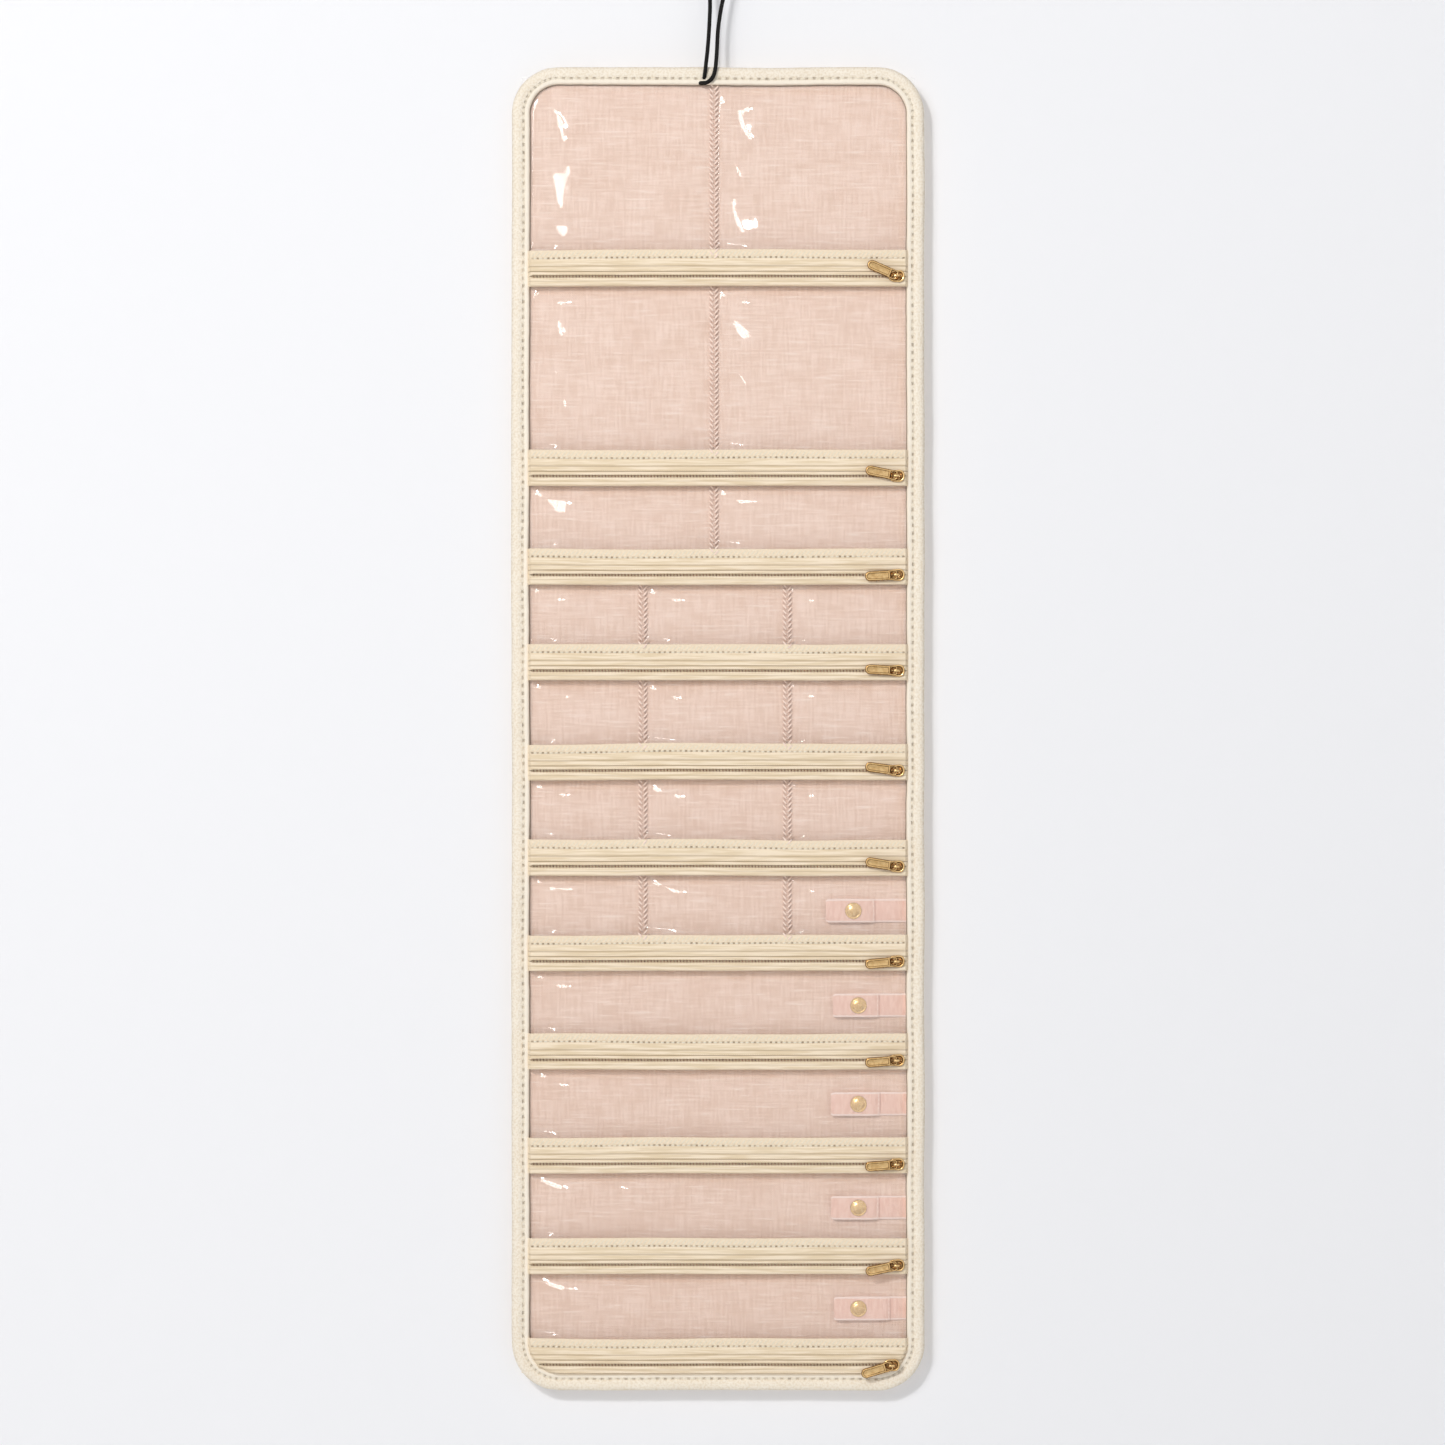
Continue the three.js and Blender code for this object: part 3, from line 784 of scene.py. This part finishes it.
for face in bm.faces:
    for loop in face.loops:
        loop[uv].uv = (loop.vert.co.x, loop.vert.co.z)
cloth_nodes = ["backing_upper", "backing_lower"]
backing = add_piece("backing_cloth", bm, linen(), replaces=cloth_nodes)
fold(backing)

# Binding: a tape folded round the cloth's edge, puffed between its stitches
STRAIGHTS = [PANEL_TOP - PANEL_BOTTOM - 2 * OUTER_CORNER, PANEL_WIDTH - 2 * OUTER_CORNER] * 2
BEND = OUTER_CORNER * math.pi / 2
EDGE_LENGTH = sum(STRAIGHTS) + 4 * BEND
STITCH_COUNT = round(EDGE_LENGTH / BINDING_STITCH_PITCH)
stitch_pitch = EDGE_LENGTH / STITCH_COUNT


def edge_frame(distance):
    """The frame at a distance round the panel's edge, up its left side first: inwards, front and along."""
    start = Vector((-PANEL_HALF, 0, PANEL_BOTTOM + OUTER_CORNER))
    turn = 0.0
    for straight in STRAIGHTS:
        spin = Matrix.Rotation(turn, 3, "Y")
        run = min(distance, straight)
        place, distance = start + spin @ UP * run, distance - run
        if distance <= 0:
            break
        centre = place + spin @ RIGHT * OUTER_CORNER
        bend = min(distance, BEND)
        turn += bend / OUTER_CORNER
        distance -= bend
        spin = Matrix.Rotation(turn, 3, "Y")
        place = centre - spin @ RIGHT * OUTER_CORNER
        if distance <= 0:
            break
        start = place
    return frame_of(place, spin @ RIGHT, FRONT, spin @ UP)


BINDING_OUTLINE = [
    (8.3, 0.75),
    (9.0, 0.75),
    (9.05, 0.95),
    (8.65, 1.1),
    (8.5, 1.9),
    (8.6, 2.4),
    (8.35, 3.0),
    (7.7, 3.25),
    (7.0, 3.2),
    (6.35, 2.85),
    (5.8, 2.55),
    (5.3, 2.8),
    (4.6, 3.15),
    (3.4, 3.4),
    (2.2, 3.35),
    (1.1, 2.95),
    (0.35, 2.2),
    (0.0, 1.2),
    (-0.1, 0.2),
    (0.0, -0.8),
    (0.4, -1.7),
    (1.2, -2.3),
    (2.4, -2.6),
    (4.2, -2.65),
    (5.3, -2.45),
    (5.8, -2.3),
    (6.3, -2.45),
    (7.4, -2.65),
    (8.3, -2.5),
    (8.5, -2.1),
    (8.45, -1.5),
    (1.0, -1.5),
    (1.0, 1.8),
    (8.2, 1.8),
]
bm = bmesh.new()
station_count = 2 * STITCH_COUNT
distances = [EDGE_LENGTH * k / station_count for k in range(station_count + 1)]
outline = [Vector((inset, depth, 0)) for inset, depth in BINDING_OUTLINE]
sweep(bm, outline, [edge_frame(distance) for distance in distances], distances, capped=False)
bmesh.ops.remove_doubles(bm, verts=bm.verts, dist=0.01)
cut_for_fold(bm)
ruffle(bm, 0.5, 45)
ruffle(bm, 0.14, 5)
cream_binding = binding_cloth(stitch_pitch)
binding_nodes = ["binding_upper", "binding_lower"]
binding = add_piece("binding", bm, cream_binding, replaces=binding_nodes)
fold(binding)

cream_thread = thread("cream_thread", (0.93, 0.87, 0.75), (0.78, 0.69, 0.53))
bm = bmesh.new()
for k in range(STITCH_COUNT):
    frame_here = edge_frame(stitch_pitch * (k + 0.5))
    lie = math.degrees(math.atan2(-frame_here.col[2].z, frame_here.col[2].x))
    for depth in BINDING_STITCH_DEPTHS:
        stitch(bm, frame_here @ Vector((BINDING_STITCH_INSET, depth, 0)), 2.9, 0.62, lie, 0.5)
ruffle(bm, 0.5, 45)
binding_stitches = add_piece("binding_stitches", bm, cream_thread)
fold(binding_stitches)
2 * cloth_half_height * MM


# Films
def side_rise(distance, gentle=False):
    """How far a film has risen at a distance from a seam beside it, from 0 to 1."""
    if gentle:
        return swell(distance / FILM_SLOPE_REACH, 1.45)
    return swell(distance / FILM_SIDE_REACH)


def film_depth(row, x, z):
    """Depth of the film's front: level between its seams, and lower behind the zip."""
    over_zip = z - row.tape_top
    behind = 1 - smooth_step(over_zip, 0.3, 3)
    side = inside_opening(x, z) - FILM_RISE_START
    beside = blend_of(side_rise(side), side_rise(side, gentle=True), smooth_step(-x, -20, 20))
    rise = blend_of(beside, smooth_step(side, 0, FILM_WALL_REACH), behind)
    rise *= swell((row.top - 0.5 - z) / FILM_TOP_REACH)
    for divider in row.dividers:
        # The right-hand pocket of three may hold a strap, so it stays full
        seam = side_rise(abs(x - divider) - DIVIDER_WIDTH / 2, gentle=divider < 0 and x > divider)
        rise *= blend_of(seam, 1, behind)
    crown = blend_of(FILM_BEHIND_ZIP_DEPTH, FILM_CROWN_DEPTH, swell(over_zip / FILM_TOP_REACH))
    crease = film_crease(row, x, z, side) * rise * (1 - behind)
    return FILM_SEAM_DEPTH + (crown - FILM_SEAM_DEPTH) * rise - crease


def film_crease(row, x, z, side):
    """How far the film sinks from its full depth, in hollows, slanting folds and puckers at its sides."""
    hollow = noise.noise(Vector((x / 24, row.number * 5.7, z / 14)))
    slant = noise.noise(Vector(((x + 0.6 * z) / 9, row.number * 2.9, (z - 0.6 * x) / 34)))
    pucker = noise.noise(Vector((x / 20, row.number * 4.1, z / 8))) * math.exp(-side / 12)
    sink = 0.42 + 0.8 * hollow + 0.45 * slant + 0.5 * pucker
    calm = 1 - 0.8 * smooth_step(x, 15, 50)  # the straps lie close behind the film
    return min(max(sink, 0), 1) * FILM_CREASE * calm


film_finish = clear_film()
for row in rows:
    columns = stations(INNER_HALF + SEAM_ALLOWANCE, 0.5, 1.6)
    film_low, film_high = row.tape_top - FILM_MARGIN, row.top + row.tuck
    levels = round((film_high - film_low) / 1.2)
    bm = bmesh.new()
    bmesh.ops.create_grid(bm, x_segments=len(columns) - 1, y_segments=levels, size=1)
    for vert in bm.verts:
        x = columns[round((vert.co.x + 1) / 2 * (len(columns) - 1))]
        z = blend_of(film_low, film_high, (vert.co.y + 1) / 2)
        vert.co = at(x, film_depth(row, x, z), z)
    if sum(face.normal.y for face in bm.faces) > 0:
        bmesh.ops.reverse_faces(bm, faces=bm.faces)
    bmesh.ops.recalc_face_normals(bm, faces=bm.faces)
    bmesh.ops.solidify(bm, geom=bm.faces[:], thickness=FILM_THICKNESS)
    name = "window_film_" + row.label
    add_piece("film_" + row.label, bm, film_finish, row.section, [name])


# Zip tapes
def zip_sway(row, x):
    """How far a tape strays from its straight line, up and to the front. Its right end is straight."""
    calm = smooth_step(INNER_HALF - x, 16, 60)
    up = noise.noise(Vector((x / 60, row.number * 7.3, 0.5))) * TAPE_SWAY * calm
    out = (noise.noise(Vector((x / 34, row.number * 3.1, 9.5))) + 0.5) * 0.2 * calm
    return up, max(out, 0)


LOWER_TAPE = [
    (0.15, 1.0),
    (0.0, 3.0),
    (0.0, 5.0),
    (0.25, 5.75),
    (0.8, 6.1),
    (1.6, 6.12),
    (2.3, 5.9),
    (3.0, 6.1),
    (3.7, 6.05),
    (4.1, 5.8),
    (4.2, 5.35),
    (3.9, 5.2),
    (0.9, 5.2),
    (0.65, 4.6),
    (0.7, 1.0),
]
UPPER_TAPE = [
    (5.2, 5.35),
    (5.3, 5.8),
    (5.7, 6.08),
    (6.4, 6.12),
    (6.85, 6.0),
    (7.05, 5.75),
    (7.25, 5.98),
    (7.8, 6.1),
    (8.7, 6.1),
    (9.35, 5.98),
    (9.65, 5.8),
    (9.95, 5.95),
    (11.0, 6.05),
    (12.2, 6.05),
    (13.2, 5.95),
    (13.7, 5.75),
    (14.2, 5.95),
    (15.2, 6.1),
    (16.6, 6.05),
    (17.4, 5.85),
    (17.7, 5.55),
    (17.6, 5.25),
    (17.2, 5.2),
    (5.5, 5.2),
]


def tuck_under_binding(place):
    """Brings a point of a tape down to the cloth where the tape runs under the binding."""
    rise = 0.12 + 0.88 * swell((inside_opening(place.x, place.z) + 0.2) / 1.1)
    return at(place.x, TAPE_FOOT_DEPTH + (-place.y - TAPE_FOOT_DEPTH) * rise, place.z)


def on_tape(row, x, rise, depth):
    """A place on a row's tape, as it sways and where it tucks under the binding.

    It strays least where its slider runs.
    """
    up, out = zip_sway(row, x)
    free = smooth_step(abs(rise - SLIT_RISE), SLIDER_RUN_HALF, 2 * SLIDER_RUN_HALF)
    up, out = up * blend_of(0.25, 1, free), out * free
    if abs(rise - SLIT_RISE) < 1:
        rise = blend_of(SLIT_RISE, rise, smooth_step(inside_opening(x, row.tape_low + rise), 0.5, 2.2))
    return tuck_under_binding(at(x, depth + out, row.tape_low + rise + up))


zip_tape = tape_cloth()
teeth_finish = nylon()
for row in rows:
    columns = stations(INNER_HALF + SEAM_ALLOWANCE, 0.45, 2.5)
    bm = bmesh.new()
    for outline in (LOWER_TAPE, UPPER_TAPE):
        frames = [frame_of(at(x, 0, row.tape_low), UP, FRONT, RIGHT) for x in columns]
        sweep(bm, [Vector((rise, depth, 0)) for rise, depth in outline], frames, columns)
    for vert in bm.verts:
        vert.co = on_tape(row, vert.co.x, vert.co.z - row.tape_low, -vert.co.y)
    name = "zip_tape_" + row.label
    add_piece("tape_" + row.label, bm, zip_tape, row.section, [name])

    bm = bmesh.new()
    for k in range(-TEETH_EACH_SIDE, TEETH_EACH_SIDE + 1):
        place = on_tape(row, k * TOOTH_PITCH, SLIT_RISE, 4.75)
        stitch(bm, place, 3, 1.05, 90, 0.9)
    add_piece("teeth_" + row.label, bm, teeth_finish, row.section)

    bm = bmesh.new()
    for k in range(-TAPE_STITCHES_EACH_SIDE, TAPE_STITCHES_EACH_SIDE):
        place = on_tape(row, (k + 0.5) * TAPE_STITCH_PITCH, TAPE_STITCH_RISE, 5.95)
        stitch(bm, place, 1.7, 0.7, 0, 0.6)
    for k in range(-ZIGZAGS_EACH_SIDE, ZIGZAGS_EACH_SIDE + 1):
        place = on_tape(row, k * ZIGZAG_PITCH, ZIGZAG_RISE, 6.12)
        stitch(bm, place, 3, 0.42, -48, 0.4)
    add_piece("tape_stitches_" + row.label, bm, cream_thread, row.section)

# Stitched seams between pockets
pink_thread = thread("blush_thread", (0.99, 0.83, 0.73), (0.95, 0.73, 0.62))
for row in rows:
    if not row.dividers:
        continue
    bm = bmesh.new()
    count = round((row.top - row.tape_top + 2.5) / DIVIDER_STITCH_PITCH)
    for divider in row.dividers:
        for k in range(count):
            for side in (-1, 1):
                x = divider + side * DIVIDER_STITCH_SPREAD
                z = row.top - 1 - DIVIDER_STITCH_PITCH * (k + 0.25 * side)
                depth = film_depth(row, divider, z) + 0.35
                if z < row.tape_top + 0.4:
                    depth = 6.15 + zip_sway(row, x)[1]
                stitch(bm, at(x, depth, z), 3.1, 0.95, -side * 50, 0.8)
    add_piece("divider_stitches_" + row.label, bm, pink_thread, row.section)

# The same seams and the zips' feet, as they show on the back
bm = bmesh.new()
back_seams = []
for row in rows:
    z = row.tape_low + TAPE_FOOT_DEPTH
    count = int(INNER_HALF / BACK_STITCH_PITCH)
    back_seams += [(k * BACK_STITCH_PITCH, z, 0) for k in range(-count, count + 1)]
for divider in TWO_POCKETS + THREE_POCKETS:
    sewn = [row for row in rows if divider in row.dividers]
    count = int((sewn[0].top - sewn[-1].tape_low) / BACK_STITCH_PITCH)
    back_seams += [(divider, sewn[0].top - (k + 0.5) * BACK_STITCH_PITCH, 90) for k in range(count)]
for x, z, turn in back_seams:
    if inside_opening(x, z) > 0.5:
        stitch(bm, at(x, cloth_wave(x, z) - CLOTH_THICKNESS, z), 1.9, 0.75, turn, 0.5)
back_stitches = add_piece("back_stitches", bm, pink_thread)
fold(back_stitches)

# Sliders and pulls
gold_finish = gold("pale_gold", (0.89, 0.61, 0.29), (0.74, 0.47, 0.20))
# painted dark reflection: a dark gold for the faces of gold parts that turn away from the front
gold_side_shade = gold("gold_painted_side_shade", (0.31, 0.16, 0.05), (0.18, 0.085, 0.025))
half_length, half_height = SLIDER_LENGTH / 2, SLIDER_HEIGHT / 2
for row in rows:
    bm = bmesh.new()
    plate = rounded_outline(-half_length, half_length, -half_height, half_height, half_height - 0.4)
    plate = [(x, z * (1 - 0.14 * smooth_step(-x, -1, 4))) for x, z in plate]
    recess(bm, slab(bm, plate, *FRONT_PLATE, 0.28), 0.5, 0.5)
    slab(bm, plate, *REAR_PLATE, 0.2)
    long, thin = POST_LENGTH / 2, POST_THICKNESS / 2
    post = rounded_outline(-long, long, -thin, thin, 0.15, 2)
    slab(bm, post, REAR_PLATE[0] + 0.2, FRONT_PLATE[1] - 0.4, 0.05)
    left_foot = [(-1.65, 6.7), (-1.65, 8.3), (-1.2, 9.15)]
    right_foot = [(-x, depth) for x, depth in reversed(left_foot)]
    arch = [*left_foot, (0, BRIDGE_DEPTH), *right_foot]
    frames, along = line_frames(smooth_line([at(x, depth, 0) for x, depth in arch], 0.3), UP)
    sweep(bm, oval(BRIDGE_WIDTH, BRIDGE_THICKNESS, 12, 3), frames, along)
    bmesh.ops.translate(bm, verts=bm.verts, vec=(row.slider_x, 0, row.slit))
    name = "zip_slider_" + row.label
    add_piece("slider_" + row.label, bm, gold_finish, "slider_" + row.label, [name], gold_side_shade)

    bm = bmesh.new()
    half = PULL_WIDTH / 2
    thick = PULL_THICKNESS / 2
    tip = [math.radians(90 + 15 * k) for k in range(13)]
    tag = [(half - PULL_LENGTH + half * math.cos(a), half * math.sin(a)) for a in tip]
    tag += [(-3.4, -half), (-2.9, 0.5 - half), (-2.9, half - 0.5), (-3.4, half)]
    recess(bm, slab(bm, tag, -thick, thick, 0.42), 0.5, 0.3)
    bar = half - PULL_SIDE_BAR / 2
    arm = [(-4, bar), (-1, bar), (-0.2, bar - 0.25), (0, bar - 0.9)]
    loop = [(x, -z) for x, z in arm] + arm[::-1]
    frames, along = line_frames(smooth_line([at(x, 0, z) for x, z in loop], 0.35), FRONT)
    sweep(bm, oval(PULL_THICKNESS, PULL_SIDE_BAR, 12, 3), frames, along)
    axis = Vector(row.pull["axis"])
    turn = Matrix.Rotation(math.atan2(axis.x, axis.z), 4, "Y")
    bmesh.ops.transform(bm, matrix=Matrix.Translation(Vector(row.pull["pos_m"]) / MM) @ turn, verts=bm.verts)
    name, body = "zip_pull_" + row.label, "pull_" + row.label
    add_piece("pull_tag_" + row.label, bm, gold_finish, body, [name], gold_side_shade, flat=0.95)


# Snap straps
def ribbon_strip(bm, line, height):
    """A flat ribbon along a line of X and depth, its first end slightly rounded."""
    points = smooth_line([at(x, depth, 0) for x, depth in line], 0.6)
    frames, along = line_frames(points, UP)
    for k, frame_here in enumerate(frames):
        round_off = 1 - 0.12 * (1 - swell(along[k] / 1.5))
        frames[k] = frame_here @ Matrix.Diagonal((round_off, 1, 1, 1))
    half = height / 2
    places = [-half, -half * 0.95, -half * 0.5, 0, half * 0.5, half * 0.95, half]
    edge = STRAP_THICKNESS / 2
    thickness = [edge * 0.5, edge, edge, edge, edge, edge, edge * 0.5]
    front = [Vector((z, t, 0)) for z, t in zip(places, thickness)]
    back = [Vector((z, -t, 0)) for z, t in reversed(list(zip(places, thickness)))]
    sweep(bm, front + back, frames, along)


def turned(bm, profile, x, depth, z):
    """Turns a profile of radius and height round an axis that points to the front."""
    verts = [bm.verts.new(at(x + radius, depth + rise, z)) for radius, rise in profile]
    edges = [bm.edges.new(pair) for pair in zip(verts, verts[1:])]
    centre = at(x, depth, z)
    geometry = [*verts, *edges]
    bmesh.ops.spin(bm, geom=geometry, cent=centre, axis=FRONT, angle=2 * math.pi, steps=36, use_merge=True)
    bmesh.ops.remove_doubles(bm, verts=bm.verts, dist=0.001)


CAP_PROFILE = [
    (0, -0.3),
    (4.0, -0.3),
    (4.1, 0.15),
    (4.0, 0.42),
    (3.7, 0.5),
    (3.4, 0.36),
    (3.2, 0.34),
    (2.9, 0.62),
    (2.4, 0.88),
    (1.8, 1.06),
    (1.1, 1.18),
    (0.5, 1.22),
    (0, 1.23),
]
SOCKET_PROFILE = [
    (0, -0.5),
    (4.0, -0.5),
    (4.1, 0.2),
    (3.7, 0.55),
    (2.6, 0.6),
    (2.2, 0.9),
    (1.5, 1.0),
    (1.3, 0.5),
    (0, 0.5),
]
ribbon_finish = satin_ribbon()
for row in rows:
    if not row.strap:
        continue
    joint_x, _, middle = [value / MM for value in row.strap["pos_m"]]
    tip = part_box("snap_strap_" + row.label)[0].x / MM
    base_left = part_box("strap_base_" + row.label)[0].x / MM
    snap = base_left + SNAP_FROM_BASE_END
    base_name, flap_name = "strap_base_" + row.label, "snap_strap_" + row.label
    flap_body = "strap_" + row.label

    bm = bmesh.new()
    base = [(base_left, STRAP_BASE_DEPTH), (joint_x, STRAP_BASE_DEPTH), (88.5, 0.62), (91, 0.42), (94, 0.3)]
    ribbon_strip(bm, base, STRAP_HEIGHT)
    bmesh.ops.translate(bm, verts=bm.verts, vec=UP * middle)
    add_piece("strap_ribbon_" + row.label, bm, ribbon_finish, "lower_section", [base_name])
    bm = bmesh.new()
    turned(bm, SOCKET_PROFILE, snap, STRAP_BASE_DEPTH + STRAP_THICKNESS / 2, middle)
    add_piece("snap_socket_" + row.label, bm, gold_finish, "lower_section")

    bm = bmesh.new()
    flap = [
        (tip, FLAP_DEPTH + 0.1),
        (tip + 8, FLAP_DEPTH),
        (snap + 5, FLAP_DEPTH),
        (joint_x - 2.2, FLAP_DEPTH - 0.35),
        (joint_x - 0.9, FLAP_JOINT_DEPTH + 0.1),
        (joint_x, FLAP_JOINT_DEPTH),
    ]
    ribbon_strip(bm, flap, STRAP_HEIGHT)
    bmesh.ops.translate(bm, verts=bm.verts, vec=UP * middle)
    add_piece("strap_flap_" + row.label, bm, ribbon_finish, flap_body, [flap_name])
    bm = bmesh.new()
    turned(bm, CAP_PROFILE, snap, FLAP_DEPTH + STRAP_THICKNESS / 2, middle)
    add_piece("snap_cap_" + row.label, bm, gold_finish, flap_body, side_shade_finish=gold_side_shade)
    bm = bmesh.new()
    for k in range(5):
        stitch(bm, at(joint_x - 0.5, FLAP_JOINT_DEPTH + 0.32, middle + (k - 2) * 2.1), 1.7, 0.42, 90, 0.35)
    add_piece("strap_stitches_" + row.label, bm, pink_thread, flap_body)


# Floor, wall, lights
def stage_plane(name, place, turn, colour):
    bm = bmesh.new()
    bmesh.ops.create_grid(bm, x_segments=1, y_segments=1, size=3)
    bmesh.ops.transform(bm, matrix=Matrix.Translation(place) @ turn, verts=bm.verts)
    mesh = bpy.data.meshes.new(name)
    bm.to_mesh(mesh)
    bm.free()
    finish = Finish(name, colour, 0.9)
    mesh.materials.append(finish.material)
    plane = bpy.data.objects.new(name, mesh)
    bpy.context.scene.collection.objects.link(plane)
    return finish, Field(finish, finish.shader.outputs[0])


def show(finish, surface):
    finish.feed(finish.tree.nodes["Material Output"].inputs[0], surface)


# The floor shows partly by its own pale colour
floor, surface = stage_plane("floor", (0, 0, -1.2), Matrix(), (0.87, 0.87, 0.87))
seen = floor.node("ShaderNodeLightPath")
pale = floor.node("ShaderNodeEmission", {}, {"Color": (0.86, 0.865, 0.875, 1)})
show(floor, floor.node("ShaderNodeMixShader", {}, {0: seen * 0.5, 1: surface, 2: pale}))

upright = Matrix.Rotation(math.pi / 2, 4, "X")
wall, surface = stage_plane("wall", (0, 0.0095, -0.4), upright, (0.875, 0.875, 0.89))
# The wall shows from its front only, and takes no light from the object's back
seen = wall.node("ShaderNodeLightPath")
behind = wall.node("ShaderNodeNewGeometry", output=6)
clear = wall.node("ShaderNodeBsdfTransparent")
show(wall, wall.node("ShaderNodeMixShader", {}, {0: seen * (1 - behind), 1: clear, 2: surface}))


def add_lamp(name, place, width, height, power):
    """A soft lamp that faces the middle of the panel."""
    lamp = bpy.data.lights.new(name, "AREA")
    lamp.shape = "ELLIPSE"
    lamp.size, lamp.size_y = width, height
    lamp.energy = power
    holder = bpy.data.objects.new(name, lamp)
    holder.location = place
    aim = Vector((0, 0, PANEL_MIDDLE * MM)) - Vector(place)
    holder.rotation_euler = aim.to_track_quat("-Z", "Y").to_euler()
    bpy.context.scene.collection.objects.link(holder)


add_lamp("key", (-0.85, -2.15, 0.68), 0.24, 0.24, 20)
add_lamp("side_box", (-1.4, -2.4, 0.7), 0.45, 0.9, 10)
add_lamp("back_fill", (0.9, 1.6, 0.5), 0.9, 0.9, 16)

# The world is palest straight ahead and behind, and shows as a pale ground
world = bpy.data.worlds.new("studio")
world.use_nodes = True
sky = Nodes(world.node_tree)
background = world.node_tree.nodes["Background"]
background.inputs["Color"].default_value = (0.98, 0.985, 1, 1)
direction = sky.node("ShaderNodeTexCoord")
facing = sky.node("ShaderNodeSeparateXYZ", {}, {0: direction}, output=1)
glow = facing.ramp(-1, -0.1, 0.81, 0.34) + facing.ramp(0.1, 1, 0, 0.35)
camera_ray, glossy_ray, through_ray = [sky.node("ShaderNodeLightPath", output=k) for k in (0, 3, 6)]
seen = (camera_ray + glossy_ray + through_ray).math("MINIMUM", 1)
sky.feed(background.inputs["Strength"], glow * (1 - seen) + seen * 0.85)
bpy.context.scene.world = world
bpy.context.scene.view_settings.view_transform = "Standard"
